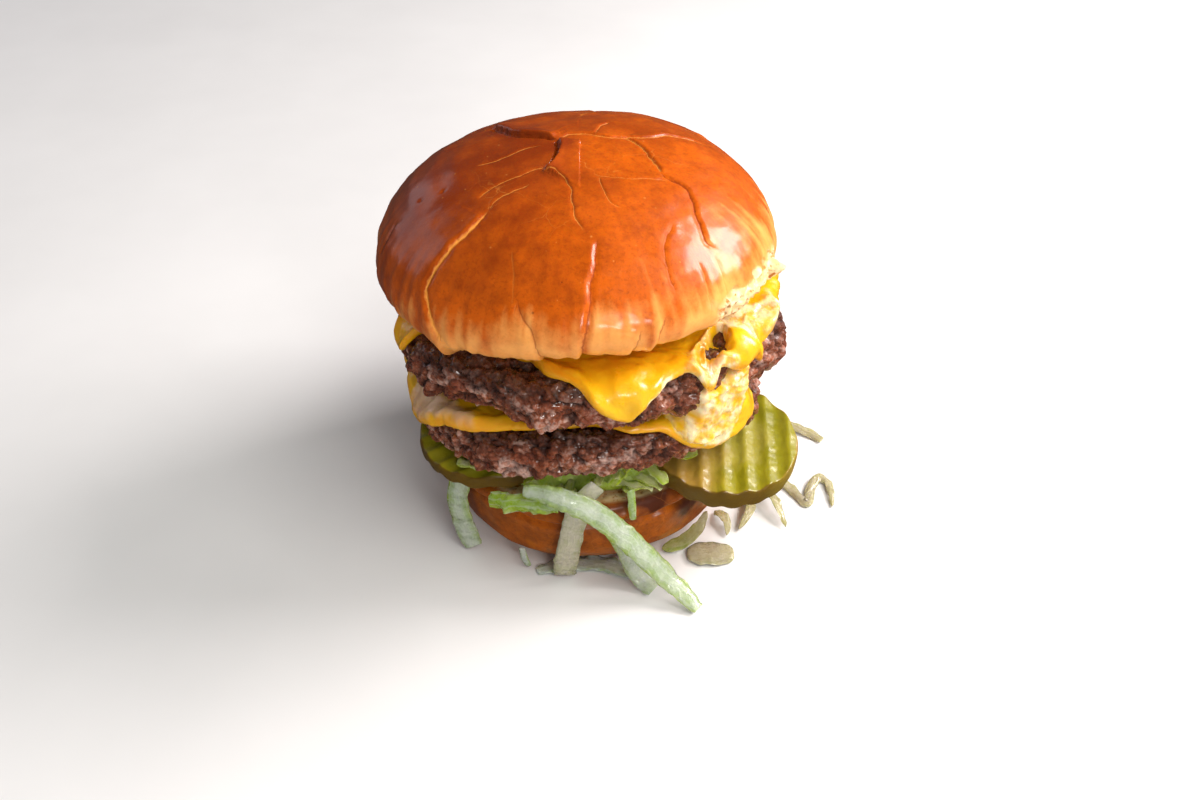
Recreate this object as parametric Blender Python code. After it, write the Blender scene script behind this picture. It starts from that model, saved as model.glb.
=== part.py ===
"""Double cheeseburger: crown, two beef patties, two melted cheese slices, pickle chips, shredded lettuce and heel.

The stack stands on the flat of its heel at z = 0, with its axis on Z and its front towards -Y.
Azimuths run anticlockwise from +X, so the front is at 270 degrees. All sizes are in millimetres until MM.
"""

import math

import bmesh
import bpy
from mathutils import Matrix, Vector

MM = 0.001
GAP = 0.45  # clearance between neighbouring layers

CROWN_SEGMENTS, CROWN_RINGS = 42, 17
PATTY_SEGMENTS, PATTY_RINGS = 36, 14
CHEESE_SEGMENTS, CHEESE_RINGS = 40, 20
HEEL_SEGMENTS, HEEL_RINGS = 36, 12
BED_SEGMENTS, BED_RINGS = 32, 8

# Values spaced evenly round the stack, from azimuth 0, one every 30 degrees.
CROWN_CENTRE = (-1.2, -1.0)
CROWN_RADIUS = (53.0, 53.6, 53.4, 53.0, 53.2, 53.4, 53.2, 53.6, 54.4, 54.8, 55.0, 54.0)
CROWN_EDGE_HEIGHT = (77.6, 73.6, 70.2, 68.8, 69.6, 71.6, 73.4, 75.4, 77.0, 81.0, 81.2, 81.0)
# Below 1 the dome is fuller towards that side.
CROWN_FULLNESS = (0.9, 0.84, 0.88, 1.0, 1.06, 1.0, 0.98, 0.98, 1.0, 1.0, 1.0, 0.98)
CROWN_TOP_HEIGHT = 109.5
# The crown's section: share of its radius, and share of the height from its edge to its top.
CROWN_SECTION = (
    (0.0, 1.0), (0.16, 0.995), (0.32, 0.965), (0.47, 0.915), (0.61, 0.84), (0.735, 0.74), (0.84, 0.62),
    (0.92, 0.485), (0.972, 0.35), (0.997, 0.22), (0.995, 0.12), (0.972, 0.045), (0.94, 0.0),
)
CROWN_SKIN_SHARE = 0.76  # how many of the crown's rings lie on its skin; its cut face has the rest

PATTY_CORNER = 5.0  # the rounding between a patty's faces and its side
PATTY_FACE_SHARE = 0.4  # how many of a patty's rings lie on its flat faces; its rim has the rest
UPPER_PATTY = {
    "centre_height": 60.1,
    "rim_height": (63.5, 61.3, 59.1, 57.7, 57.3, 57.3, 57.3, 58.1, 61.6, 63.6, 63.1, 63.7),
    "radius": (52.6, 51.8, 51.2, 52.0, 51.4, 51.4, 50.4, 51.0, 52.6, 52.4, 53.4, 54.2),
    "half_thickness": 7.2,
}
LOWER_PATTY = {
    "centre_height": 42.0,
    "rim_height": (45.4, 43.0, 40.8, 39.4, 38.6, 38.2, 38.0, 38.2, 41.6, 45.8, 45.4, 45.6),
    "radius": (50.6, 50.2, 50.4, 50.0, 50.4, 49.4, 48.0, 48.6, 51.4, 51.0, 50.8, 51.2),
    "half_thickness": 6.8,
}

CHEESE_THICKNESS = 2.0
CHEESE_RIM = 6.0  # the part of a slice next to its lip that has most of its rings
CHEESE_FACE_SHARE = 0.3
CHEESE_LIFT = 0.9  # its clearance from the patty it lies on, which it follows round the edge
# How far each slice reaches along the patty from its centre: over the top, round the edge and down the side.
# One value every 15 degrees.
UPPER_CHEESE_REACH = (
    52.0, 51.0, 50.0, 50.0, 51.5, 55.0, 57.0, 57.0, 54.0, 50.0, 48.5, 48.5,
    50.5, 45.0, 41.5, 40.5, 41.0, 45.0, 54.0, 61.0, 54.0, 53.0, 54.5, 53.5,
)
LOWER_CHEESE_REACH = (
    56.0, 51.0, 48.0, 49.0, 53.0, 58.0, 59.0, 55.0, 49.5, 47.5, 48.0, 48.5,
    48.0, 49.0, 50.5, 50.5, 49.5, 48.5, 48.0, 49.0, 52.0, 63.0, 67.0, 61.0,
)
# How much thicker than CHEESE_THICKNESS each slice gets towards its edge, one value every 30 degrees.
UPPER_CHEESE_SWELL = (1.2, 0.6, 0.2, 0.2, 0.4, 0.6, 1.2, 0.6, 0.6, 1.6, 1.4, 1.4)
LOWER_CHEESE_SWELL = (0.2, 0.2, 0.2, 0.2, 0.6, 1.6, 2.6, 2.8, 1.8, 0.2, 0.2, 0.2)

HEEL_TOP_HEIGHT = 26.7
HEEL_RADIUS = (46.6, 46.8, 46.6, 46.4, 46.0, 45.2, 43.6, 43.0, 45.8, 47.2, 47.0, 46.6)
# The heel's section: share of its radius, and share of its height, from the top's middle round to the foot.
HEEL_SECTION = (
    (0.0, 0.93), (0.4, 0.94), (0.75, 0.955), (0.93, 0.985), (0.985, 0.955), (1.0, 0.85), (1.0, 0.7),
    (0.99, 0.53), (0.968, 0.35), (0.925, 0.19), (0.85, 0.07), (0.75, 0.0), (0.4, 0.0), (0.0, 0.0),
)

BED_RADIUS = (43.0, 43.5, 44.5, 44.0, 43.0, 43.0, 41.0, 39.0, 43.5, 47.8, 46.5, 44.0)

PICKLE_COLUMNS = 28
PICKLE_HEADROOM = 12.0  # no lettuce lies on top of a chip: its room in the lettuce is open upwards
PICKLE_RIDGE_PITCH = 6.1
PICKLE_RIDGE_DEPTH = 0.8
PICKLE_EDGE_ROUND = 0.9
# Each pickle chip: its middle, radius, thickness, the way it slopes down with how steeply, and its ridges' azimuth.
PICKLES = {
    "pickle_front": {
        "centre": (38.7, -24.8, 30.3), "radius": 21.2, "thickness": 5.7,
        "downhill": 300, "slope": 7.6, "ridges": 72,
    },
    "pickle_left": {
        "centre": (-23.4, -18.0, 30.1), "radius": 22.0, "thickness": 3.9,
        "downhill": 215, "slope": 6.2, "ridges": 30,
    },
}

STRIP_THICKNESS = 1.0
STRIP_STEPS = 2  # sections for each stretch of a strip's route
# Each lettuce strip: the middle line of a ribbon, its width, how much narrower it ends, and the way its face
# looks at its two ends.
STRIPS = {
    "strip_left": {
        "route": ((-33.4, -31.6, 23.4), (-34.4, -32.2, 18.4), (-33.9, -33.0, 11.5), (-32.9, -33.8, 5.5),
                  (-31.9, -34.6, 1.6)),
        "width": 5.8, "taper": 0.2, "face": ((-0.7, -0.7, 0.1), (-0.6, -0.7, 0.3)),
    },
    "strip_long": {
        "route": ((-14.8, -49.6, 35.0), (-8.4, -52.0, 35.8), (-2.4, -53.4, 34.4), (4.3, -53.8, 30.6),
                  (11.0, -53.6, 23.4), (17.8, -53.6, 14.8), (24.8, -54.6, 6.4), (31.8, -59.6, 1.5)),
        "width": 5.6, "taper": 0.5, "face": ((0.0, -0.9, 0.4), (0.35, -0.5, 0.8)),
    },
    "strip_short": {
        "route": ((4.6, -48.4, 35.8), (1.4, -49.6, 32.4), (-0.8, -49.8, 27.4), (-2.2, -49.6, 20.0),
                  (-3.5, -49.2, 12.0), (-4.4, -48.0, 5.0), (-4.6, -46.9, 1.2)),
        "width": 6.6, "taper": 0.2, "face": ((0.1, -1.0, 0.1), (0.0, -0.9, 0.3)),
    },
    "strip_second": {
        "route": ((6.4, -49.8, 25.0), (9.0, -49.6, 20.4), (11.8, -49.0, 15.0), (14.2, -48.4, 9.0),
                  (16.6, -48.8, 3.8), (20.6, -51.6, 1.3)),
        "width": 5.0, "taper": 0.3, "face": ((0.2, -0.95, 0.2), (0.1, -0.3, 0.95)),
    },
    "strip_ruffle": {
        "route": ((-24.4, -44.2, 27.6), (-20.4, -47.0, 28.8), (-15.6, -49.2, 30.2), (-10.6, -50.6, 30.8),
                  (-5.6, -51.4, 30.6)),
        "width": 4.4, "taper": 0.4, "face": ((-0.4, -0.8, 0.4), (0.0, -0.9, 0.3)),
    },
    "strip_thin": {
        "route": ((13.3, -47.2, 33.2), (13.7, -47.6, 28.6), (14.0, -47.8, 23.2)),
        "width": 2.2, "taper": 0.2, "face": ((0.3, -0.9, 0.1), (0.3, -0.9, 0.1)),
    },
    "strip_underfoot": {
        "route": ((-12.4, -44.8, 0.7), (-7.6, -42.9, 0.8), (-1.0, -41.8, 0.8), (5.6, -41.8, 0.8),
                  (10.8, -43.8, 0.8), (14.0, -46.0, 0.7)),
        "width": 3.4, "taper": 0.6, "face": ((0.0, 0.0, 1.0), (0.0, 0.0, 1.0)),
    },
    "strip_bit": {
        "route": ((-16.3, -43.6, 8.4), (-15.8, -43.8, 4.8), (-15.0, -43.3, 1.2)),
        "width": 2.2, "taper": 0.2, "face": ((-0.4, -0.9, 0.1), (-0.3, -0.9, 0.2)),
    },
    "strip_fan": {
        "route": ((35.4, -31.6, 11.0), (33.6, -33.0, 7.6), (31.2, -33.6, 4.2), (28.0, -33.8, 2.0)),
        "width": 3.2, "taper": 0.5, "face": ((0.5, -0.6, 0.6), (0.0, -0.3, 1.0)),
    },
    "strip_fork_left": {
        "route": ((38.8, -20.6, 0.8), (41.0, -24.4, 2.4), (42.0, -27.4, 2.2), (41.6, -30.8, 0.9)),
        "width": 2.4, "taper": 0.5, "face": ((0.0, 0.0, 1.0), (0.0, -0.2, 1.0)),
    },
    "strip_fork_right": {
        "route": ((47.0, -14.6, 0.8), (49.4, -19.4, 2.4), (48.2, -24.0, 2.8), (45.2, -28.4, 1.0)),
        "width": 2.6, "taper": 0.5, "face": ((0.0, 0.0, 1.0), (0.1, -0.2, 1.0)),
    },
    "strip_rib": {
        "route": ((29.9, -37.8, 1.0), (33.0, -38.0, 1.3), (36.0, -38.1, 1.4), (39.0, -38.1, 1.3),
                  (42.2, -38.0, 1.0)),
        "width": 8.8, "taper": 0.75, "face": ((0.0, 0.0, 1.0), (0.0, 0.0, 1.0)),
    },
    "strip_pointed": {
        "route": ((50.6, -9.6, 0.9), (54.2, -13.6, 3.0), (56.3, -18.0, 3.6), (57.7, -22.8, 2.6),
                  (58.9, -27.5, 1.0)),
        "width": 3.0, "taper": 0.7, "face": ((0.5, 0.0, 0.85), (0.2, 0.0, 1.0)),
    },
    "strip_squiggle": {
        "route": ((53.6, -4.6, 0.9), (57.6, -6.4, 1.4), (61.2, -9.6, 1.1), (63.9, -13.7, 1.0),
                  (66.4, -17.2, 1.0), (68.1, -11.4, 1.2), (70.6, -7.0, 1.4), (73.4, -8.0, 1.2),
                  (74.4, -13.5, 1.1), (74.6, -18.4, 0.9)),
        "width": 2.0, "taper": 0.4, "face": ((0.0, 0.0, 1.0), (0.0, 0.0, 1.0)),
    },
    "strip_stub": {
        "route": ((58.0, 20.8, 0.9), (62.4, 19.4, 1.2), (67.0, 17.4, 1.3), (71.0, 14.8, 1.1),
                  (74.5, 11.4, 0.9)),
        "width": 2.6, "taper": 0.4, "face": ((0.0, 0.0, 1.0), (0.0, 0.1, 1.0)),
    },
}

MATERIALS = {
    "bun_crust": ((0.52, 0.19, 0.04), 0.35),
    "beef": ((0.11, 0.055, 0.04), 0.5),
    "cheese": ((0.85, 0.45, 0.04), 0.3),
    "pickle": ((0.32, 0.33, 0.04), 0.25),
    "lettuce": ((0.45, 0.58, 0.3), 0.4),
}


def clear_scene():
    for thing in list(bpy.data.objects):
        bpy.data.objects.remove(thing)


def named_collection(name):
    collection = bpy.data.collections.new(name)
    bpy.context.scene.collection.children.link(collection)
    return collection


def make_material(name):
    colour, roughness = MATERIALS[name]
    material = bpy.data.materials.new(name)
    material.use_nodes = True
    shader = material.node_tree.nodes["Principled BSDF"]
    shader.inputs["Base Color"].default_value = (*colour, 1.0)
    shader.inputs["Roughness"].default_value = roughness
    shader.inputs["Metallic"].default_value = 0.0
    return material


def blend_through(before, start, end, after, share):
    """The Catmull-Rom curve between start and end, for numbers or vectors."""
    return (
        start
        + (end - before) * (0.5 * share)
        + (before * 2 - start * 5 + end * 4 - after) * (0.5 * share**2)
        + (start * 3 - before - end * 3 + after) * (0.5 * share**3)
    )


def around(values, azimuth):
    """A smooth value at an azimuth, from values spaced evenly round the stack."""
    count = len(values)
    place = (azimuth / math.tau % 1.0) * count
    index = int(place)
    near = [values[(index + step) % count] for step in (-1, 0, 1, 2)]
    return blend_through(*near, place - index)


def along(points, share):
    """A smooth point along an open row of points, with share from 0 to 1."""
    place = min(share, 1.0) * (len(points) - 1)
    index = min(int(place), len(points) - 2)
    row = [Vector(points[min(max(index + step, 0), len(points) - 1)]) for step in (-1, 0, 1, 2)]
    return blend_through(*row, place - index)


def spread(way, first_share, first, last):
    """A distance that takes first_share of the way to reach first, and the rest of it to go on to last."""
    if way < first_share:
        return first * way / first_share
    return first + (last - first) * (way - first_share) / (1.0 - first_share)


def add_object(name, shape, material, collection):
    bmesh.ops.recalc_face_normals(shape, faces=shape.faces)
    mesh = bpy.data.meshes.new(name)
    shape.to_mesh(mesh)
    shape.free()
    mesh.materials.append(material)
    mesh.shade_smooth()
    thing = bpy.data.objects.new(name, mesh)
    collection.objects.link(thing)
    return thing


def round_body(segments, rings, place):
    """A closed body from a sphere: place(share, azimuth) says where each of its points goes, in millimetres.

    share runs from 0 at the top's middle, over the side, to 1 at the underside's middle.
    """
    shape = bmesh.new()
    bmesh.ops.create_uvsphere(shape, u_segments=segments, v_segments=rings, radius=1.0)
    for vertex in shape.verts:
        share = math.acos(max(-1.0, min(1.0, vertex.co.z))) / math.pi
        azimuth = math.atan2(vertex.co.y, vertex.co.x)
        vertex.co = Vector(place(share, azimuth)) * MM
    return shape


def loft(sections):
    """A closed body through a row of sections, which are rings of as many points each, in millimetres."""
    shape = bmesh.new()
    rings = [[shape.verts.new(Vector(point) * MM) for point in section] for section in sections]
    count = len(rings[0])
    for ring, following in zip(rings, rings[1:]):
        for i in range(count):
            k = (i + 1) % count
            shape.faces.new((ring[i], ring[k], following[k], following[i]))
    shape.faces.new(rings[0])
    shape.faces.new(rings[-1])
    return shape


def crown_rest(reach, azimuth):
    """The height at which the crown's soft cut face lies on the upper slice of cheese."""
    thickness = CHEESE_THICKNESS + around(UPPER_CHEESE_SWELL, azimuth)
    patty_top = patty_level(UPPER_PATTY, reach, azimuth) + UPPER_PATTY["half_thickness"]
    return patty_top + CHEESE_LIFT + thickness + GAP


def crown_point(share, azimuth):
    """The domed skin down to the edge, and then the cut face, which sags onto the cheese inside its edge."""
    radius = around(CROWN_RADIUS, azimuth)
    edge = around(CROWN_EDGE_HEIGHT, azimuth)
    fullness = around(CROWN_FULLNESS, azimuth)
    if share <= CROWN_SKIN_SHARE:
        reach, rise = along(CROWN_SECTION, share / CROWN_SKIN_SHARE)
        reach = max(reach, 0.0) ** fullness
        height = edge + (CROWN_TOP_HEIGHT - edge) * rise
    else:
        inward = (1.0 - share) / (1.0 - CROWN_SKIN_SHARE)
        reach = CROWN_SECTION[-1][0] ** fullness * inward
        rest = crown_rest(radius * reach, azimuth)
        height = rest + (edge - rest) * inward**4
    x, y = CROWN_CENTRE
    return (x + radius * reach * math.cos(azimuth), y + radius * reach * math.sin(azimuth), height)


def patty_level(patty, reach, azimuth):
    """The height of the patty's mid-surface at a distance from the axis."""
    rim = around(patty["rim_height"], azimuth)
    share = reach / around(patty["radius"], azimuth)
    return patty["centre_height"] + (rim - patty["centre_height"]) * share**2


def patty_skin(patty, distance, azimuth, offset=0.0):
    """A point at a distance along the patty's skin from its top's middle, and an offset outside it.

    The skin runs over the top face, round the corner in a quarter circle and straight down from there.
    """
    corner, half = PATTY_CORNER, patty["half_thickness"]
    flat = around(patty["radius"], azimuth) - corner
    turn = (distance - flat) / corner
    if turn <= 0:
        reach, rise = distance, half + offset
    elif turn <= math.pi / 2:
        reach = flat + (corner + offset) * math.sin(turn)
        rise = half - corner + (corner + offset) * math.cos(turn)
    else:
        reach = flat + corner + offset
        rise = half - corner - (turn - math.pi / 2) * corner
    height = patty_level(patty, min(reach, flat + corner), azimuth)
    return reach, height, rise


def patty_point(patty, share, azimuth):
    """The upper half follows the skin to the middle of the side, and the lower half mirrors it."""
    way = 1.0 - abs(share - 0.5) * 2.0
    flat = around(patty["radius"], azimuth) - PATTY_CORNER
    rim = PATTY_CORNER * math.pi / 2 + patty["half_thickness"] - PATTY_CORNER
    distance = spread(way, PATTY_FACE_SHARE, flat, flat + rim)
    reach, height, rise = patty_skin(patty, distance, azimuth)
    height += rise if share < 0.5 else -rise
    return (reach * math.cos(azimuth), reach * math.sin(azimuth), height)


def cheese_point(patty, reaches, swells, share, azimuth):
    """Out over the top face to the lip, and back along the face that lies on the patty."""
    length = around(reaches, azimuth)
    way = 1.0 - abs(share - 0.5) * 2.0
    inner = min(around(patty["radius"], azimuth) - PATTY_CORNER, length - CHEESE_RIM)
    distance = spread(way, CHEESE_FACE_SHARE, inner, length)
    thickness = CHEESE_THICKNESS + around(swells, azimuth) * (distance / length) ** 2
    from_lip = min((length - distance) / thickness, 1.0)
    bulge = 0.5 * thickness * math.sqrt(1.0 - (1.0 - from_lip) ** 2)
    offset = CHEESE_LIFT + 0.5 * thickness + (bulge if share < 0.5 else -bulge)
    reach, height, rise = patty_skin(patty, distance, azimuth, offset)
    return (reach * math.cos(azimuth), reach * math.sin(azimuth), height + rise)


def heel_point(share, azimuth):
    """The top with its toasted edge, the skin's bulge, and the flat foot."""
    reach, rise = along(HEEL_SECTION, share)
    radius = around(HEEL_RADIUS, azimuth)
    height = HEEL_TOP_HEIGHT * max(rise, 0.0)
    return (radius * reach * math.cos(azimuth), radius * reach * math.sin(azimuth), height)


def bed_point(share, azimuth):
    """The lettuce fills what lies between the heel and the lower patty, with a ragged outline."""
    way = 1.0 - abs(share - 0.5) * 2.0
    reach = around(BED_RADIUS, azimuth) * way
    floor = HEEL_TOP_HEIGHT + GAP
    ceiling = patty_level(LOWER_PATTY, reach, azimuth) - LOWER_PATTY["half_thickness"] - GAP
    middle, half = (floor + ceiling) / 2, (ceiling - floor) / 2
    lift = half * math.sqrt(1.0 - way**6)
    height = middle + (lift if share < 0.5 else -lift)
    return (reach * math.cos(azimuth), reach * math.sin(azimuth), height)


def pickle_frame(pickle):
    """The chip's own frame: X across its ridges, Z out of its upper face."""
    downhill = math.radians(pickle["downhill"])
    axis = Vector((-math.sin(downhill), math.cos(downhill), 0.0))
    tilt = Matrix.Rotation(math.radians(pickle["slope"]), 4, axis)
    turn = Matrix.Rotation(math.radians(pickle["ridges"] - 90.0), 4, "Z")
    return Matrix.Translation(Vector(pickle["centre"])) @ tilt @ turn


def pickle_sections(pickle, margin=0.0, headroom=0.0):
    """Rounded rectangles side by side across the ridges, each as long as the disc is there."""
    radius = pickle["radius"] + margin
    half = pickle["thickness"] / 2 + margin
    edge = PICKLE_EDGE_ROUND
    frame = pickle_frame(pickle)
    sections = []
    for i in range(PICKLE_COLUMNS + 1):
        share = 2.0 * i / PICKLE_COLUMNS - 1.0
        across = 0.99 * radius * (1.25 * share - 0.25 * share**3)
        chord = math.sqrt(radius**2 - across**2)
        wave = PICKLE_RIDGE_DEPTH * 0.5 * math.cos(math.tau * across / PICKLE_RIDGE_PITCH)
        top = half + headroom
        outline = (
            (chord, top - edge), (chord - edge, top), (edge - chord, top), (-chord, top - edge),
            (-chord, edge - half), (edge - chord, -half), (chord - edge, -half), (chord, edge - half),
        )
        sections.append([frame @ Vector((across, y, z + wave)) for y, z in outline])
    return sections


def strip_sections(strip):
    """Flat rectangles along the ribbon's middle line, narrower at its two ends by its taper."""
    route, faces = strip["route"], [Vector(face).normalized() for face in strip["face"]]
    steps = STRIP_STEPS * (len(route) - 1)
    sections = []
    for i in range(steps + 1):
        share = i / steps
        middle = along(route, share)
        heading = (along(route, min(share + 0.02, 1.0)) - along(route, max(share - 0.02, 0.0))).normalized()
        side = heading.cross(faces[0].lerp(faces[1], share)).normalized()
        face = side.cross(heading).normalized()
        half_width = 0.5 * strip["width"] * (1.0 - strip["taper"] * abs(2 * share - 1) ** 4)
        half_thickness = 0.5 * STRIP_THICKNESS
        sections.append([
            middle + side * across * half_width + face * out * half_thickness
            for across, out in ((1, 1), (-1, 1), (-1, -1), (1, -1))
        ])
    return sections


def cut(thing, cutter):
    """Takes the cutter's shape out of the thing."""
    cutter.hide_render = True
    cutter.display_type = "WIRE"
    modifier = thing.modifiers.new("cut_" + cutter.name, "BOOLEAN")
    modifier.operation = "DIFFERENCE"
    modifier.object = cutter


def main():
    clear_scene()
    burger = named_collection("double_cheeseburger")
    cutters = named_collection("cutters")
    finish = {name: make_material(name) for name in MATERIALS}

    add_object("bun_crown", round_body(CROWN_SEGMENTS, CROWN_RINGS, crown_point), finish["bun_crust"], burger)
    for level, patty, reaches, swells in (
        ("upper", UPPER_PATTY, UPPER_CHEESE_REACH, UPPER_CHEESE_SWELL),
        ("lower", LOWER_PATTY, LOWER_CHEESE_REACH, LOWER_CHEESE_SWELL),
    ):
        disc = round_body(
            PATTY_SEGMENTS, PATTY_RINGS, lambda share, azimuth: patty_point(patty, share, azimuth)
        )
        add_object("patty_" + level, disc, finish["beef"], burger)
        slice_ = round_body(
            CHEESE_SEGMENTS,
            CHEESE_RINGS,
            lambda share, azimuth: cheese_point(patty, reaches, swells, share, azimuth),
        )
        add_object("cheese_" + level, slice_, finish["cheese"], burger)

    bed = add_object("lettuce_bed", round_body(BED_SEGMENTS, BED_RINGS, bed_point), finish["lettuce"], burger)
    for name, pickle in PICKLES.items():
        add_object(name, loft(pickle_sections(pickle)), finish["pickle"], burger)
        room = loft(pickle_sections(pickle, GAP, PICKLE_HEADROOM))
        cut(bed, add_object("room_for_" + name, room, finish["pickle"], cutters))
    for name, strip in STRIPS.items():
        add_object(name, loft(strip_sections(strip)), finish["lettuce"], burger)
    add_object("bun_heel", round_body(HEEL_SEGMENTS, HEEL_RINGS, heel_point), finish["bun_crust"], burger)


main()
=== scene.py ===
# %% [markdown]
# # A double cheeseburger
#
# This lesson dresses a plain solid model of a burger until it looks good enough to eat. The solids say how
# big each layer is and where it lies. We build the crust, the minced beef, the melted cheese, the pickle
# and the shreds of lettuce around them, one layer at a time. Shapes are worked out in millimetres and
# turned into metres at the end, because a cook thinks of a cheese slice as 2 mm thick.

import math
import random

import bpy
import numpy as np
from mathutils import Matrix, Vector, noise
from mathutils.bvhtree import BVHTree


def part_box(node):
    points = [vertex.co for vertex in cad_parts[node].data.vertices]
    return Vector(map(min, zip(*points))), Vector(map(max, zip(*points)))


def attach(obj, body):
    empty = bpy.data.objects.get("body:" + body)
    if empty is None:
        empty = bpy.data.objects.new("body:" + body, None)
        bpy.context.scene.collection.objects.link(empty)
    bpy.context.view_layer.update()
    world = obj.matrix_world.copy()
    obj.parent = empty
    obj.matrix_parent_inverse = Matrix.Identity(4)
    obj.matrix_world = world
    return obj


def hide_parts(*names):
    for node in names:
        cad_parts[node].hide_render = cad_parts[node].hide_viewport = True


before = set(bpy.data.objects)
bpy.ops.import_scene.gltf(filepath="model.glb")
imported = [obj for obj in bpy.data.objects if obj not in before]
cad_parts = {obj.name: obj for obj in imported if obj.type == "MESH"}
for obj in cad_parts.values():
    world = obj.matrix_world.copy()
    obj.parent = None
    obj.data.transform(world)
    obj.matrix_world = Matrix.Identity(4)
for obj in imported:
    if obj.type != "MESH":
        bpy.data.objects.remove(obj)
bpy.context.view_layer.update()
MM = 0.001

# %% [markdown]
# ## Small tools for shapes
#
# Food has no straight lines, so nearly everything here starts as a smooth form and is pushed about by
# noise. Blender's `mathutils.noise` gives the same value at the same place on every run, so the burger
# never changes. `rise` is a soft switch between 0 and 1, which is how one area fades into the next.

# %% Noise and soft switches
def lumps(points, size, seed=0.0, octaves=2):
    """Smooth hills and hollows from about -1 to 1, one about every size millimetres."""
    shift = Vector((seed * 31.7, seed * 17.1, seed * 7.3))
    flat = (points / size).reshape(-1, 3).tolist()
    values = [noise.fractal(Vector(point) + shift, 1.0, 2.0, octaves) for point in flat]
    return np.array(values).reshape(points.shape[:-1])


def rise(low, high, values):
    """0 below low, 1 above high, and a soft climb between them."""
    share = np.clip((values - low) / (high - low), 0.0, 1.0)
    return share * share * (3.0 - 2.0 * share)


def hill(values, width):
    """1 where values are 0, falling off in a bell as they reach width."""
    return np.exp(-((values / width) ** 2))


def around(net, x, y, z, size):
    """1 at a place in mm, falling off in a bell round it."""
    return hill(np.linalg.norm(net - (x, y, z), axis=2), size)


def round_gap(azimuths, middle):
    """How far azimuths are from a middle one, in degrees, the short way round."""
    return (azimuths - middle + 180.0) % 360.0 - 180.0


def on_drum(azimuths, radius, heights=0.0):
    """Places on an upright drum, where noise can run in streaks up and down a side."""
    turns = np.radians(azimuths)
    return np.stack([np.cos(turns) * radius, np.sin(turns) * radius, heights + 0.0 * turns], axis=-1)


print("a lump of noise at the crown's top:", lumps(np.array([[0.0, 0.0, 109.0]]), 8.0).round(3))

# %% [markdown]
# ## A net of points over a solid
#
# Bun halves and patties are round, so a net of rings and columns fits them well. Rays shot from the middle
# of a solid find its skin. The solid has flat facets, so the net is blurred a little until they melt away.
# A net is better than a subdivided copy of the solid here, because each point knows which ring and column
# it is in, and rings can be packed closely where the detail is and spread out where nobody looks.

# %% Wrap a net round a solid
def skin_of(node):
    """A CAD solid's surface, ready for rays."""
    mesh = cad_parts[node].data
    return BVHTree.FromPolygons([v.co for v in mesh.vertices], [p.vertices for p in mesh.polygons])


def toward(azimuth, polar):
    """The direction at an azimuth and an angle down from straight up, both in radians."""
    return Vector((math.sin(polar) * math.cos(azimuth), math.sin(polar) * math.sin(azimuth), math.cos(polar)))


def wrap(node, middle, angles, columns=240):
    """Where rays from the middle, in rings at these angles from straight up, meet the solid's skin."""
    skin = skin_of(node)
    start = Vector(middle) * MM
    turns = [math.tau * column / columns for column in range(columns)]
    hits = [[skin.ray_cast(start, toward(turn, polar))[0] for turn in turns] for polar in angles]
    return np.array(hits) / MM


def disc_angles(reach, rim, face_rings, rim_rings):
    """Angles for a flat round thing: few for its two faces, many for its rim, which stands within +-rim."""
    faces = np.linspace(0.001, reach, face_rings)
    top = np.arctan2(faces, rim)
    side = np.arctan2(reach, np.linspace(rim, -rim, rim_rings))
    return np.concatenate([top, side[1:-1], (math.pi - top)[::-1]])


top_hit = wrap("bun_crown", (0.0, 0.0, 80.0), [0.001], 1)
print("a ray straight up leaves the crown at", top_hit[0, 0, 2].round(1), "mm")


# %% Change and measure a net
def more_columns(net, columns):
    """The same net with more columns."""
    place = np.arange(columns) * net.shape[1] / columns
    index = place.astype(int)
    share = (place - index)[None, :, None]
    return net[:, index] * (1 - share) + net[:, (index + 1) % net.shape[1]] * share


def even_rings(net, rings, worth):
    """Slides rings along the skin, so that they lie closer together where worth is high."""
    made = np.empty((rings, net.shape[1], 3))
    for column in range(net.shape[1]):
        line, weight = net[:, column], worth[:, column]
        steps = np.linalg.norm(np.diff(line, axis=0), axis=1) * (weight[1:] + weight[:-1]) / 2
        way = np.concatenate(([0.0], np.cumsum(steps)))
        at = np.linspace(0.0, way[-1], rings)
        made[:, column] = np.stack([np.interp(at, way, line[:, axis]) for axis in range(3)], axis=1)
    return made


def soften(net, ring_passes, column_passes):
    """Blurs a net along its rings and its columns."""
    for _ in range(ring_passes):
        padded = np.concatenate([net[:1], net, net[-1:]])
        net = (padded[:-2] + padded[1:-1] * 2 + padded[2:]) / 4
    for _ in range(column_passes):
        net = (np.roll(net, 1, 1) + net * 2 + np.roll(net, -1, 1)) / 4
    return net


def outward(net):
    """The direction out of the skin at each point."""
    down_skin = np.gradient(net, axis=0)
    round_skin = np.roll(net, -1, 1) - np.roll(net, 1, 1)
    normal = np.cross(down_skin, round_skin)
    length = np.linalg.norm(normal, axis=2, keepdims=True)
    normal = normal / np.maximum(length, 1e-9)
    normal[0], normal[-1] = (0, 0, 1), (0, 0, -1)
    return normal


print("a ring of 4 points, given 6 columns:", more_columns(np.eye(4)[None, :, :3], 6).shape)

# %% [markdown]
# ## From points to a piece of the burger
#
# A net becomes a mesh by joining each point to its neighbours. The first and last rings close into a point.
# Each piece also carries masks: numbers stored on its points, such as how dark the crust is baked there.
# The material reads them later, so colour and shape always agree.

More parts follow.
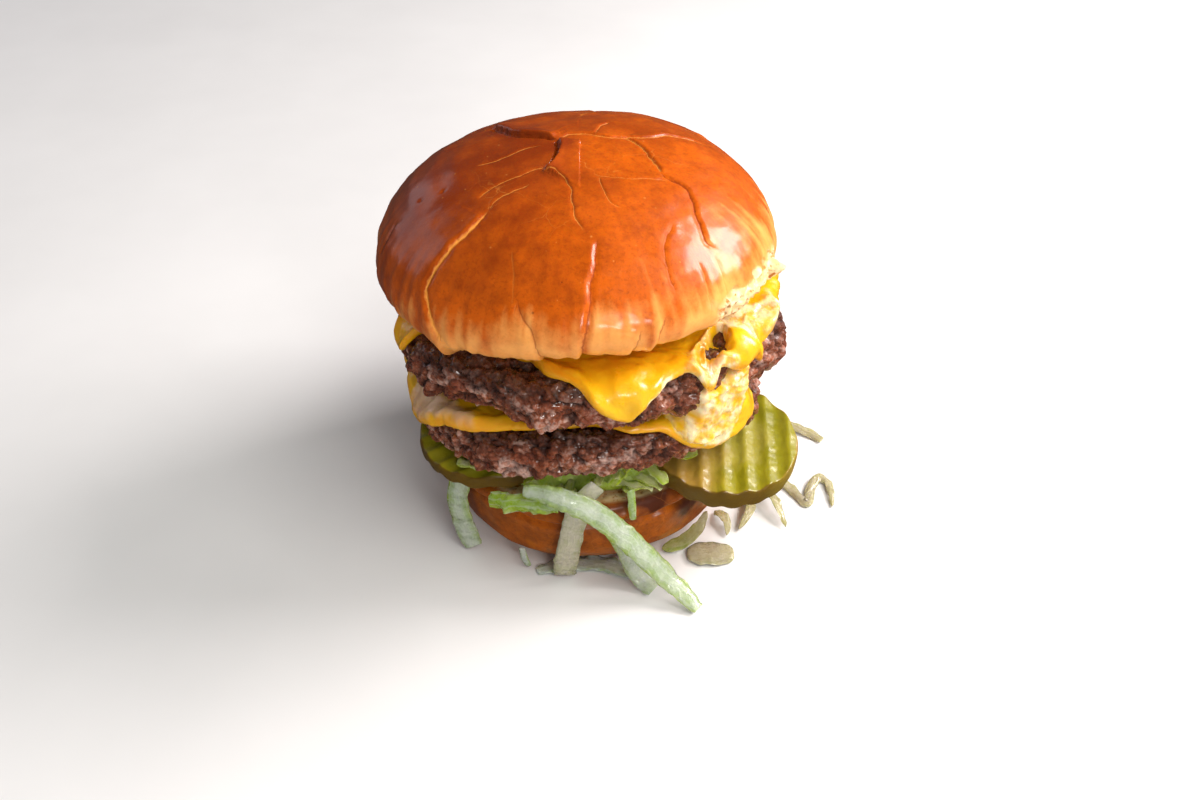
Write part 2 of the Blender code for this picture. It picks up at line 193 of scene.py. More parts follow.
# %% Close a net into a mesh
def net_faces(rings, columns):
    """The faces of a net whose first and last rings have each become a single point."""
    place = np.arange(1, rings - 2)[:, None] * columns + np.arange(columns)[None, :] - columns + 1
    turn = (np.arange(columns) + 1) % columns - np.arange(columns)
    quads = np.stack([place, place + columns, place + columns + turn, place + turn], axis=-1).reshape(-1, 4)
    last = (rings - 2) * columns + 1
    row = np.arange(columns)
    top = np.stack([np.zeros(columns, int), row + 1, (row + 1) % columns + 1], axis=-1)
    start = last - columns
    foot = np.stack([np.full(columns, last), start + (row + 1) % columns, start + row], axis=-1)
    return top.tolist() + quads.tolist() + foot.tolist()


def net_points(net):
    """The net's points in the order that net_faces counts them."""
    middle_rings = net[1:-1].reshape(-1, *net.shape[2:])
    return np.concatenate([net[:1].mean(1), middle_rings, net[-1:].mean(1)])


print("a net of 4 rings and 3 columns has", len(net_faces(4, 3)), "faces")

# %% Add a mesh as a piece of the burger
TRIANGLES = {}


def add_piece(name, points, faces, material, nodes=(), masks=None):
    """Adds a mesh of points in millimetres that rides on the burger and stands for the CAD nodes named."""
    mesh = bpy.data.meshes.new(name)
    mesh.from_pydata((np.asarray(points) * MM).tolist(), [], faces)
    for label, values in (masks or {}).items():
        stored = mesh.attributes.new(label, "FLOAT", "POINT")
        stored.data.foreach_set("value", np.asarray(values, np.float32).ravel())
    mesh.materials.append(material)
    mesh.shade_smooth()
    piece = bpy.data.objects.new(name, mesh)
    bpy.context.scene.collection.objects.link(piece)
    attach(piece, "root")
    if nodes:
        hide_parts(*nodes)
    TRIANGLES[name] = sum(len(face) - 2 for face in faces)
    print(f"{name}: {TRIANGLES[name]} triangles")
    return piece


def add_net(name, net, material, nodes, masks):
    """Adds a net as a piece."""
    on_points = {label: net_points(values) for label, values in masks.items()}
    return add_piece(name, net_points(net), net_faces(*net.shape[:2]), material, nodes, on_points)


print("pieces so far:", len(TRIANGLES))

# %% [markdown]
# ## Small tools for materials
#
# A finish is a tree of nodes. Writing each node and link out in full takes many lines, so `put` adds a node
# and fills or links its inputs in one call. Numbers that stay the same all over a piece, such as how deep
# light sinks into cheese, are set on the shader's own sockets.

# %% Build node trees briefly
def feed(tree, socket, value):
    """Links a socket, or sets its value."""
    if isinstance(value, bpy.types.NodeSocket):
        tree.links.new(value, socket)
    else:
        socket.default_value = value


def put(tree, kind, settings=None, **inputs):
    """Adds a node of a kind, with its settings, and its inputs by name."""
    made = tree.nodes.new("ShaderNode" + kind)
    for name, value in (settings or {}).items():
        setattr(made, name, value)
    for name, value in inputs.items():
        feed(tree, made.inputs[name.replace("_", " ")], value)
    return made


def mask(tree, name):
    """A mask stored on the piece's points."""
    return put(tree, "Attribute", {"attribute_name": name}).outputs["Fac"]


def colour(red, green, blue):
    return (red, green, blue, 1.0)


print("orange:", colour(1.0, 0.5, 0.0))


# %% Sums and mixes in a node tree
def maths(tree, operation, *values):
    """The result of one sum."""
    made = tree.nodes.new("ShaderNodeMath")
    made.operation = operation
    for socket, value in zip(made.inputs, values):
        feed(tree, socket, value)
    return made.outputs[0]


def stir(tree, share, first, second):
    """The first colour turning into the second as share goes from 0 to 1."""
    made = tree.nodes.new("ShaderNodeMix")
    made.data_type = "RGBA"
    for index, value in ((0, share), (6, first), (7, second)):
        feed(tree, made.inputs[index], value)
    return made.outputs[2]


def scale_to(tree, value, low, high, to_low, to_high):
    """A value moved from one range into another."""
    return put(tree, "MapRange", None, Value=value, From_Min=low, From_Max=high,
               To_Min=to_low, To_Max=to_high).outputs[0]


def between(tree, value, low, high):
    """How far a value has come on its way from low to high, from 0 to 1."""
    return scale_to(tree, value, low, high, 0.0, 1.0)


def spread(tree, share, low, high):
    """A share from 0 to 1 turned into a value from low to high."""
    return scale_to(tree, share, 0.0, 1.0, low, high)


def times(tree, first, second):
    return maths(tree, "MULTIPLY", first, second)


def plus(tree, first, second):
    return maths(tree, "ADD", first, second)


def larger(tree, first, second):
    return maths(tree, "MAXIMUM", first, second)


print("tools that add one node each:", [tool.__name__ for tool in (maths, stir, scale_to)])


# %% Start a finish
def emboss(tree, shader, height, strength, depth):
    """Tilts the shading as if the surface rose and fell by this height."""
    bump = put(tree, "Bump", None, Strength=strength, Distance=depth, Height=height)
    feed(tree, shader.inputs["Normal"], bump.outputs[0])


def start_finish(name, **constants):
    """A new material, its node tree and its shader with what stays the same all over."""
    material = bpy.data.materials.new(name)
    material.use_nodes = True
    shader = material.node_tree.nodes["Principled BSDF"]
    for socket, value in constants.items():
        shader.inputs[socket.replace("_", " ")].default_value = value
    return material, material.node_tree, shader


print("materials so far:", len(bpy.data.materials))

# %% [markdown]
# ## Effects that several finishes share
#
# Bread, beef, cheese, pickle and lettuce are all blotchy, and most are speckled, grainy or cracked. Each
# effect is one node group with named inputs, built once. Every material places it with its own sizes. The
# sizes are in millimetres: the group turns them into the texture's scale, which counts per metre.

# %% Make a group with named sockets
def start_group(name, inputs, outputs):
    """A node group with float sockets, and its own input and output nodes."""
    group = bpy.data.node_groups.new(name, "ShaderNodeTree")
    for label, value in inputs.items():
        group.interface.new_socket(label, in_out="INPUT", socket_type="NodeSocketFloat").default_value = value
    for label in outputs:
        group.interface.new_socket(label, in_out="OUTPUT", socket_type="NodeSocketFloat")
    return group, group.nodes.new("NodeGroupInput").outputs, group.nodes.new("NodeGroupOutput").inputs


def use_group(tree, group, **inputs):
    """Places a group in a material's tree, with its inputs by name."""
    made = tree.nodes.new("ShaderNodeGroup")
    made.node_tree = group
    for name, value in inputs.items():
        feed(tree, made.inputs[name.replace("_", " ")], value)
    return made.outputs


def per_metre(tree, size):
    return maths(tree, "DIVIDE", 1.0 / MM, size)


def place_on_piece(tree):
    return put(tree, "TexCoord").outputs["Object"]


print("groups so far:", len(bpy.data.node_groups))

# %% Blotches: soft patches of more and less
blotches, given, result = start_group(
    "Blotches", {"Size": 10.0, "Low": 0.35, "High": 0.65, "Detail": 3.0}, ["Mask"])
cloud = put(blotches, "TexNoise", None, Vector=place_on_piece(blotches),
            Scale=per_metre(blotches, given["Size"]), Detail=given["Detail"], Roughness=0.55)
feed(blotches, result["Mask"], between(blotches, cloud.outputs[0], given["Low"], given["High"]))


def patches(tree, **sizes):
    return use_group(tree, blotches, **sizes)["Mask"]


print("group:", blotches.name)

# %% Specks: small round dots, each with its own size
specks, given, result = start_group("Specks", {"Size": 3.0, "Dot": 0.2, "Share": 0.5}, ["Mask"])
cells = put(specks, "TexVoronoi", None, Vector=place_on_piece(specks), Scale=per_metre(specks, given["Size"]))
luck = put(specks, "SeparateColor", None, Color=cells.outputs["Color"])
dot = times(specks, given["Dot"], luck.outputs[1])
inside = scale_to(specks, cells.outputs["Distance"], 0.0, dot, 1.0, 0.0)
chosen = maths(specks, "LESS_THAN", luck.outputs[0], given["Share"])
feed(specks, result["Mask"], times(specks, inside, chosen))


def dots(tree, **sizes):
    return use_group(tree, specks, **sizes)["Mask"]


print("group:", specks.name)

# %% Grain: a fine uneven surface, for bumps
grain, given, result = start_group("Grain", {"Size": 1.0, "Detail": 4.0}, ["Height"])
fine = put(grain, "TexNoise", None, Vector=place_on_piece(grain), Scale=per_metre(grain, given["Size"]),
           Detail=given["Detail"], Roughness=0.6)
feed(grain, result["Height"], fine.outputs[0])


def bumps(tree, **sizes):
    return use_group(tree, grain, **sizes)["Height"]


print("group:", grain.name)

# %% Hairlines: thin lines that branch and meet, as in cracked glaze or leaf veins
hairlines, given, result = start_group("Hairlines", {"Size": 9.0, "Width": 0.02, "Wander": 0.4}, ["Mask"])
where = place_on_piece(hairlines)
drift = put(hairlines, "TexNoise", None, Vector=where, Scale=per_metre(hairlines, given["Size"]), Detail=3.0)
wander = times(hairlines, given["Wander"], times(hairlines, given["Size"], MM))
push = put(hairlines, "VectorMath", {"operation": "SCALE"}, Scale=wander)
feed(hairlines, push.inputs[0], drift.outputs["Color"])
moved = put(hairlines, "VectorMath", {"operation": "ADD"})
feed(hairlines, moved.inputs[0], where)
feed(hairlines, moved.inputs[1], push.outputs[0])
edges = put(hairlines, "TexVoronoi", {"feature": "DISTANCE_TO_EDGE"}, Vector=moved.outputs[0],
            Scale=per_metre(hairlines, given["Size"]))
line = scale_to(hairlines, edges.outputs["Distance"], 0.0, given["Width"], 1.0, 0.0)
feed(hairlines, result["Mask"], line)
print("group:", hairlines.name)

# %% [markdown]
# ## The crust's finish
#
# A brioche crust is brushed with egg and baked, so it is deep orange-brown on top, where the oven is
# hottest, and pale gold low down, where the dough was shaded. The glaze gives a second, sharper gloss,
# which is what the coat on the shader is for. Where the crust splits, lighter crumb shows. The masks say
# where: `bake` is how dark it is, and `crumb` is soft open bread. A crack is finer than the mesh, so its
# mask is not a line but a distance: `crack_gap` is how many millimetres away the crack is, negative on one
# side. It passes through 0 inside a face, just where the crack runs, and the material draws the line there.
# `crack_here` keeps it near its crack, `crack_deep` marks the deep cracks, whose groove is painted
# dark as shade, and `crackle` says where the glaze's own fine lines show.

# %% The crust's colours and cracks
# The deep cracks' colour is painted shade in their grooves, the pores' colour painted shade in the pores, and
# the crumb holes' colour painted shade in the holes of the torn crumb.
TORN_CRACK, DARK_CRACK = colour(0.95, 0.38, 0.06), colour(0.34, 0.05, 0.003)
PORE, CRUMB_HOLE = colour(0.09, 0.012, 0.002), colour(0.50, 0.17, 0.03)
SHADED_CRUMB, LIT_CRUMB = colour(0.90, 0.60, 0.26), colour(0.95, 0.78, 0.48)


def baked_skin(tree, pale, golden, dark):
    """Crust from pale through golden to dark with the bake mask, mottled where it is baked."""
    baked = plus(tree, mask(tree, "bake"), spread(tree, patches(tree, Size=7.0, Detail=5.0), -0.10, 0.10))
    skin = stir(tree, between(tree, baked, 0.0, 0.42), pale, golden)
    skin = stir(tree, between(tree, baked, 0.48, 1.0), skin, dark)
    marked = scale_to(tree, baked, 0.10, 0.50, 0.09, 0.34)
    mottle = patches(tree, Size=2.6, Low=0.47, High=0.66, Detail=5.0)
    skin = stir(tree, times(tree, mottle, marked), skin, dark)
    freckles = patches(tree, Size=0.8, Low=0.52, High=0.70, Detail=2.0)
    return stir(tree, times(tree, freckles, marked), skin, dark)


def crack_masks(tree):
    """Where the cut cracks and the glaze's fine lines show."""
    lines = use_group(tree, hairlines, Size=11.0, Width=0.010, Wander=0.9)["Mask"]
    width = spread(tree, patches(tree, Size=1.6, Low=0.3, High=0.6, Detail=4.0), 0.16, 0.48)
    gap = maths(tree, "ABSOLUTE", mask(tree, "crack_gap"))
    groove = times(tree, scale_to(tree, gap, 0.0, width, 1.0, 0.0), mask(tree, "crack_here"))
    return groove, times(tree, lines, mask(tree, "crackle"))


print("a torn crack shows", TORN_CRACK[:3], "and a deep one", DARK_CRACK[:3])


# %% Crust material for the crown and the heel
def make_crust(name, pale, golden, dark, roughness):
    """Egg-washed crust."""
    material, tree, shader = start_finish(
        name, Subsurface_Weight=0.12, Subsurface_Radius=(1.0, 0.4, 0.15), Subsurface_Scale=0.0015,
        Coat_Roughness=0.19, Coat_IOR=1.45, Specular_IOR_Level=0.22)
    skin = baked_skin(tree, pale, golden, dark)
    blisters = dots(tree, Size=2.6, Dot=0.17, Share=0.30)
    skin = stir(tree, times(tree, blisters, 0.45), skin, pale)
    pores = dots(tree, Size=5.5, Dot=0.13, Share=0.35)
    # Painted shade: the pores are darkened.
    skin = stir(tree, times(tree, pores, 0.8), skin, PORE)
    groove, lines = crack_masks(tree)
    split = larger(tree, groove, times(tree, lines, 0.45))
    # Painted shade: the deep cracks' grooves are painted dark brown.
    skin = stir(tree, split, skin, stir(tree, mask(tree, "crack_deep"), TORN_CRACK, DARK_CRACK))
    bread = stir(tree, patches(tree, Size=2.2), SHADED_CRUMB, LIT_CRUMB)
    holes = patches(tree, Size=1.9, Low=0.54, High=0.66, Detail=3.0)
    # Painted shade: the crumb's holes are darkened.
    bread = stir(tree, holes, bread, CRUMB_HOLE)
    crumb = mask(tree, "crumb")
    feed(tree, shader.inputs["Base Color"], stir(tree, crumb, skin, bread))
    matt = larger(tree, crumb, times(tree, split, 0.7))
    glazed = plus(tree, spread(tree, patches(tree, Size=16.0), -0.06, 0.07), roughness)
    feed(tree, shader.inputs["Roughness"], spread(tree, matt, glazed, 0.8))
    feed(tree, shader.inputs["Coat Weight"], spread(tree, matt, 0.6, 0.0))
    height = times(tree, bumps(tree, Size=1.3), 0.6)
    torn_holes = times(tree, holes, crumb)
    for part, raised in ((groove, -1.6), (pores, -0.9), (blisters, 0.35), (lines, -0.5), (torn_holes, -3.0)):
        height = maths(tree, "MULTIPLY_ADD", part, raised, height)
    emboss(tree, shader, height, 0.35, 0.0004)
    return material


crown_crust = make_crust("crown_crust", colour(0.93, 0.385, 0.088), colour(0.62, 0.108, 0.0012),
                         colour(0.25, 0.032, 0.001), 0.38)
# The heel's colours are darker than the crown's, partly as painted shade from the burger above it.
heel_crust = make_crust("heel_crust", colour(0.70, 0.25, 0.018), colour(0.47, 0.108, 0.001),
                        colour(0.075, 0.014, 0.002), 0.45)
print("finishes:", crown_crust.name, heel_crust.name)

# %% [markdown]
# ## The crown
#
# The crown is a dome of brioche. As it cooled and was pressed, its glaze split into long cracks, one tip
# folded over, and the low edge creased into pleats. We could paint those with bumps, but long cracks catch
# the light along their raised lips, so they are cut into the mesh. Each one is a short list of directions
# seen from the crown's middle. Distances are measured on a ball round that middle, which keeps every crack
# the same width.

# %% Wrap the crown and measure directions on it
CROWN_MIDDLE = np.array((-1.2, -1.0, 80.0))
BALL = 50.0  # the radius of the ball that crack widths are measured on, near the crown's own
CROWN_RINGS, CROWN_COLUMNS = 212, 440
crown = wrap("bun_crown", CROWN_MIDDLE, np.linspace(0.004, math.pi - 0.004, 250))
from_axis = np.linalg.norm((crown - CROWN_MIDDLE)[..., :2], axis=2)
under = (np.arange(len(crown)) / len(crown) > 0.5)[:, None] & (from_axis < 46.0)
crown = even_rings(crown, CROWN_RINGS, np.where(under, 0.12, 1.0))
crown = soften(more_columns(crown, CROWN_COLUMNS), 9, 28)
crown_ways = crown - CROWN_MIDDLE
crown_ways /= np.linalg.norm(crown_ways, axis=2, keepdims=True)
crown_azimuth = np.degrees(np.arctan2(crown_ways[..., 1], crown_ways[..., 0])) % 360
crown_polar = np.degrees(np.arccos(np.clip(crown_ways[..., 2], -1, 1)))
print("crown net:", crown.shape[:2])


# %% Distance from a crack
def trail(places, step=0.6):
    """Points close together along a crack, on the ball, from its azimuths and polar angles in degrees."""
    corners = [toward(math.radians(azimuth), math.radians(polar)) * BALL for azimuth, polar in places]
    made = []
    for start, end in zip(corners, corners[1:]):
        count = max(2, int((end - start).length / step))
        made += [start.lerp(end, i / count) for i in range(count)]
    made = np.array(made + [corners[-1]])
    for _ in range(3):
        made[1:-1] = (made[:-2] + made[1:-1] * 2 + made[2:]) / 4
    made += 0.35 * np.stack([lumps(made, 3.0, seed) for seed in (1.0, 2.0, 3.0)], axis=1)
    return made


def beside(ways, line):
    """How far each direction is from a crack, which side it is on, and how far along."""
    flat = ways.reshape(-1, 3) * BALL
    low, high = line.min(0) - 9.0, line.max(0) + 9.0
    near = np.where(((flat > low) & (flat < high)).all(1))[0]
    gap = np.full(len(flat), 99.0)
    side = np.zeros(len(flat))
    way = np.zeros(len(flat))
    offset = flat[near][:, None] - line[None]
    squared = (offset**2).sum(2)
    nearest = squared.argmin(1)
    heading = np.gradient(line, axis=0)[nearest]
    offset = offset[np.arange(len(near)), nearest]
    heading /= np.linalg.norm(heading, axis=1, keepdims=True)
    away = offset - (offset * heading).sum(1, keepdims=True) * heading
    inner = (nearest > 0) & (nearest < len(line) - 1)
    gap[near] = np.where(inner, np.linalg.norm(away, axis=1), np.sqrt(squared.min(1)))
    side[near] = np.sign((np.cross(heading, offset) * flat[near]).sum(1))
    way[near] = nearest / (len(line) - 1)
    shape = ways.shape[:2]
    return gap.reshape(shape), side.reshape(shape), way.reshape(shape)


print("points along a crack 10 degrees long:", len(trail(((0, 40), (0, 50)))))

# %% [markdown]
# Each crack says how wide its groove is, how deep, how proud one side stands, and how much pale crumb shows
# in it. A positive lip raises the side on the left of the crack's direction. Pleats are the same thing,
# wider and with a taller lip.

# %% Where the crown's cracks and pleats run
LINE_WIDTH = 0.45  # a crack this wide, in mm, shows the material's own width of line
# width, depth and lip in millimetres; torn up to 1, or below 0 for a deep one, whose groove is painted dark
# as shade; then its places, each by its azimuth and its angle down from straight up, in degrees
CRACKS = (
    (0.60, 0.50, -0.95, 0.95, ((230, 52), (230, 57), (229, 63), (227, 69), (226, 75), (226, 79),
                               (229, 83), (233, 89))),
    (0.35, 0.18, 0.10, 0.55, ((230, 53), (229, 47), (233, 41), (238, 36))),
    (0.35, 0.20, 0.12, 0.55, ((220, 51), (219, 47), (220, 43), (222, 38), (226, 34), (229, 28), (238, 24))),
    (0.35, 0.20, 0.10, 0.60, ((193, 44), (194, 35), (192, 31), (187, 26), (181, 21), (181, 15))),
    (0.80, 1.20, 1.70, -0.85, ((142, 50), (144, 45), (150, 36), (154, 29), (152, 21), (151, 14), (154, 10))),
    (0.75, 1.10, 1.80, -0.45, ((152, 10), (208, 9), (236, 16), (240, 22), (237, 28))),
    (0.45, 0.40, 0.30, 0.55, ((150, 10), (107, 11), (67, 12), (40, 14), (23, 19), (20, 27), (17, 35),
                              (20, 42), (19, 51), (18, 59))),
    (0.35, 0.22, 0.15, 0.60, ((49, 15), (59, 24), (57, 30))),
    (0.45, 0.45, 0.50, 0.60, ((22, 25), (12, 28), (360, 31), (346, 35), (338, 39), (332, 42))),
    (0.48, 0.55, 0.40, -0.95, ((334, 41), (332, 42), (331, 46), (332, 49), (331, 52), (325, 56),
                               (321, 59), (319, 62), (316, 66), (317, 68), (319, 70))),
    (0.38, 0.25, 0.20, 0.55, ((238, 27), (249, 25), (263, 30), (268, 35), (269, 43), (271, 49), (273, 52),
                              (275, 55))),
    (0.45, 0.50, -0.75, -0.70, ((279, 57), (277, 64), (275, 69), (275, 73), (274, 77), (273, 82), (272, 90))),
    (0.42, 0.16, 0.22, -0.30, ((310, 58), (305, 60), (301, 63), (299, 67), (298, 71), (298, 75))),
    (0.45, 0.12, 0.15, 0.15, ((249, 62), (253, 70), (254, 76))),
    (0.40, 0.50, 0.35, -0.60, ((255, 74), (257, 78), (260, 81), (262, 90))),
    (0.40, 0.60, -0.50, -0.60, ((287, 81), (286, 85), (285, 93))),
    (0.40, 0.60, -0.55, -0.60, ((294, 79), (292, 83), (291, 93))),
    (0.40, 0.20, 0.25, 0.25, ((309, 69), (308, 76), (307, 82))),
    (0.40, 0.20, 0.22, 0.25, ((315, 70), (314, 78), (313, 83))),
    (0.35, 0.18, 0.12, 0.35, ((288, 27), (293, 30), (301, 32), (313, 37), (323, 41), (330, 46))),
    (0.32, 0.16, 0.10, 0.35, ((292, 30), (289, 38), (290, 45), (294, 48))),
    (0.50, 0.45, 0.45, 0.55, ((30, 60), (34, 68), (31, 77), (36, 88))),
    (0.45, 0.35, 0.35, 0.50, ((75, 42), (82, 52), (80, 63), (86, 72))),
    (0.50, 0.50, -0.50, 0.35, ((118, 70), (116, 78), (119, 92))),
    (0.40, 0.30, 0.30, 0.50, ((160, 55), (166, 66), (163, 76))),
    (0.50, 0.50, 0.55, 0.30, ((196, 72), (198, 80), (195, 92))),
    (0.50, 0.45, 0.00, -1.00, ((200.2, 57.1), (201, 57), (201.8, 57.1))),
    (0.50, 0.40, 0.00, -1.00, ((196.0, 64.1), (196.7, 64), (197.5, 64.2))),
)
print("cracks and pleats:", len(CRACKS))

# %% Press the cracks and pleats into the crown
crown_push = np.zeros(crown.shape[:2])
crack_gap = np.full(crown.shape[:2], 9.0)
crack_here = np.zeros(crown.shape[:2])
crack_deep = np.zeros(crown.shape[:2])
for width, depth, lip, torn, places in CRACKS:
    gap, side, way = beside(crown_ways, trail(places))
    fade = rise(0.0, 0.10, way) * rise(0.0, 0.12, 1.0 - way) if places[-1][1] < 86 else rise(0.0, 0.12, way)
    proud = abs(lip) * np.exp(-gap / (2.5 + 2.5 * abs(lip))) * (1 - hill(gap, 0.45))
    raised = np.where(side * lip > 0, proud, 0.0)
    crown_push += fade * (raised - 0.8 * depth * hill(gap, width + 0.25))
    shown_gap = gap * LINE_WIDTH / width
    nearest = shown_gap < np.abs(crack_gap)
    crack_gap = np.where(nearest, shown_gap * side, crack_gap)
    crack_here = np.where(nearest, abs(torn) * fade * rise(2.6, 1.6, gap), crack_here)
    # Marks the cracks whose groove is painted dark as shade.
    crack_deep = np.where(nearest, float(torn < 0), crack_deep)
print("lips and grooves go from", crown_push.min().round(2), "to", crown_push.max().round(2), "mm")

# %% [markdown]
# The rest of the crown's form: broad soft dents from the oven and from fingers, small flutes round the low
# edge where the dough was tucked in, a ragged edge of skin, and a torn place at the right where soft crumb
# shows, with one small flake that sticks out of it.

# %% Dents, flutes, the ragged edge and the torn crumb
TORN_AZIMUTH, FLAKE_AZIMUTH, FLAKE_POLAR = 328, 338.0, 84.0
low_part = rise(66.0, 86.0, crown_polar)
flutes = lumps(on_drum(crown_azimuth, 60, crown[..., 2] * 0.12), 3.6, 3.0)
crown_push += 0.55 * lumps(crown, 24.0, 1.0) + 0.16 * lumps(crown, 7.0, 2.0) + 0.34 * low_part * flutes

torn_span = rise(20.0, 13.0, np.abs(round_gap(crown_azimuth, TORN_AZIMUTH)) + 4.0 * lumps(crown, 5.0, 4.0))
crown_crumb = torn_span * rise(79.5, 82.0, crown_polar + 2.5 * lumps(crown, 3.5, 4.5))
crown_crumb *= rise(112.0, 106.0, crown_polar)
bubbles = rise(0.15, 0.45, lumps(crown, 2.6, 5.5))
crown_push += crown_crumb * (0.2 + 1.0 * lumps(crown, 2.2, 5.0, 3) - 2.2 * bubbles)
flake = toward(math.radians(FLAKE_AZIMUTH), math.radians(FLAKE_POLAR)) * BALL
from_flake = np.linalg.norm(crown_ways * BALL - np.array(flake), axis=2) + 0.6 * lumps(crown, 1.8, 6.5)
crown_push += 4.0 * hill(from_flake, 1.5)
crown_crumb = np.maximum(crown_crumb, hill(from_flake, 2.6))

crown_dense = crown + outward(crown) * crown_push[..., None]
edge_rows = hill(crown_polar - 94.0, 5.0)
notches = 0.45 * lumps(on_drum(crown_azimuth, 52), 3.0, 6.0, 3)
for width, depth, lip, torn, places in CRACKS:
    foot_azimuth, foot_polar = places[-1]
    if foot_polar >= 86:
        before = (foot_azimuth - crown_azimuth) % 360
        notches += 3.2 * np.exp(-before / 3.6) * rise(0.0, 0.4, before)
crown_dense[..., 2] -= edge_rows * (0.5 + notches + 1.6 * torn_span)
crown_dense += outward(crown) * (0.35 * edge_rows * flutes)[..., None]
print("crown stands proud by at most", crown_push.max().round(2), "mm")

# %% [markdown]
# How dark the crust is: pale in a streaky band along the low edge and darkest over the top. It is also
# golden and paler at the right, which is painted light from the window there, and darker towards the left
# and along the low left edge, which is mostly painted shade. The mask is worked out on the same net, then
# the crown is added.

# %% Bake and add the crown
# Painted light and shade: the crust is paler at the right, where the window lights it, and darker towards the
# left and along the low left edge, which lie in shade; the darkening at the left is only partly the crust's
# own.
right_side = hill(round_gap(crown_azimuth, 330), 60.0)
left_side = hill(round_gap(crown_azimuth, 185), 60.0)
low_left = hill(round_gap(crown_azimuth, 205), 27.0)
streaks = lumps(on_drum(crown_azimuth, 52, crown[..., 2] * 0.10), 2.6, 7.0, 3)
above_edge = 89.0 - crown_polar + 8.0 * streaks + 5.0 * lumps(crown, 14.0, 8.0) + 11.0 * low_left
crown_bake = 0.54 * rise(-3.0, 13.0 + 12.0 * right_side, above_edge) + 0.20 * rise(12.0, 48.0, above_edge)
crown_bake += 0.12 * lumps(crown, 15.0, 9.0) - 0.15 * right_side + 0.26 * left_side * rise(4, 26, above_edge)
crackle = rise(62.0, 38.0, crown_polar) * rise(-0.3, 0.5, lumps(crown, 20.0, 10.0))
add_net("crown", crown_dense, crown_crust, ["bun_crown"], {
    "bake": np.clip(crown_bake, 0, 1),
    "crack_gap": crack_gap,
    "crack_here": crack_here,
    "crack_deep": crack_deep,
    "crumb": crown_crumb,
    "crackle": crackle,
})

# %% [markdown]
# ## The beef's finish
#
# Minced beef is a heap of small nuggets. The outside is seared nearly black, and the sides are brown with
# paler, pinkish-grey bits, which are partly fat and partly painted highlight. Fat and juice make it glisten
# in spots, so the roughness changes from nugget to nugget. `nugget` is each lump's own tone, `crevice` is how
# deep a place lies between lumps, where the colour is darkened nearly to black as painted shade, and `sear`
# is how dark it is fried.

# %% Beef material
beef, tree, shader = start_finish("seared_beef", Subsurface_Weight=0.10, Subsurface_Radius=(1.0, 0.35, 0.25),
                                  Subsurface_Scale=0.0012, Coat_Roughness=0.05, Specular_IOR_Level=0.5)
shade = plus(tree, mask(tree, "nugget"), spread(tree, patches(tree, Size=1.1, Detail=4.0), -0.22, 0.22))
meat = stir(tree, between(tree, shade, 0.15, 0.6), colour(0.160, 0.036, 0.012), colour(0.39, 0.120, 0.056))
# The pale pinkish colour is partly fat and partly painted highlight on the nuggets.
meat = stir(tree, between(tree, shade, 0.55, 0.90), meat, colour(0.68, 0.42, 0.34))
juicy = patches(tree, Size=5.0, Low=0.5, High=0.66)
meat = stir(tree, times(tree, juicy, 0.5), meat, colour(0.30, 0.058, 0.020))
char = patches(tree, Size=7.0, Low=0.50, High=0.62, Detail=4.0)
meat = stir(tree, times(tree, char, 0.50), meat, colour(0.055, 0.014, 0.007))
meat = stir(tree, mask(tree, "sear"), meat, colour(0.060, 0.018, 0.009))
# Painted shade: the crevices between nuggets are darkened nearly to black.
meat = stir(tree, mask(tree, "crevice"), meat, colour(0.022, 0.006, 0.004))
feed(tree, shader.inputs["Base Color"], meat)
wet = patches(tree, Size=1.7, Low=0.36, High=0.56, Detail=2.0)
feed(tree, shader.inputs["Roughness"], spread(tree, wet, 0.60, 0.22))
feed(tree, shader.inputs["Coat Weight"], spread(tree, wet, 0.05, 0.95))
emboss(tree, shader, bumps(tree, Size=1.1), 0.9, 0.0008)
print("finish:", beef.name)

# %% [markdown]
# ## The patties
#
# Each nugget is one cell of a cell pattern (Voronoi): the nearest cell's middle gives a rounded lump, and
# the border between two cells gives a crevice. Large cells and small cells are added together, and noise
# bends them first, so that no lump is a neat ball. The rim has most of the rings, because it is all that
# shows.

# %% Nuggets from a cell pattern
def nuggets(points, size, seed):
    """For cells about size across: height on the lump, gap to the next one, and the lump's own shade."""
    drift = np.stack([lumps(points, size * 0.9, seed + k, 3) for k in (0.1, 0.2, 0.3)], axis=-1)
    bent = points + 0.42 * size * drift
    high, crevice, shade = [], [], []
    shift = Vector((seed * 9.1, seed * 3.7, seed * 5.3))
    for point in (bent / size).reshape(-1, 3).tolist():
        gaps, middles = noise.voronoi(Vector(point) + shift)
        high.append(1.0 - min(gaps[0], 1.0) ** 2 * 1.6)
        crevice.append(gaps[1] - gaps[0])
        shade.append(math.sin(middles[0].dot((12.99, 78.23, 37.72))) * 43758.5 % 1.0)
    shape = points.shape[:2]
    return (np.array(values).reshape(shape) for values in (high, crevice, shade))


one_place = nuggets(np.ones((1, 1, 3)), 5.2, 1.0)
print("height, gap and shade at one place:", [float(value[0, 0].round(2)) for value in one_place])


# %% Build a patty
PATTY_RINGS, PATTY_COLUMNS = 112, 540


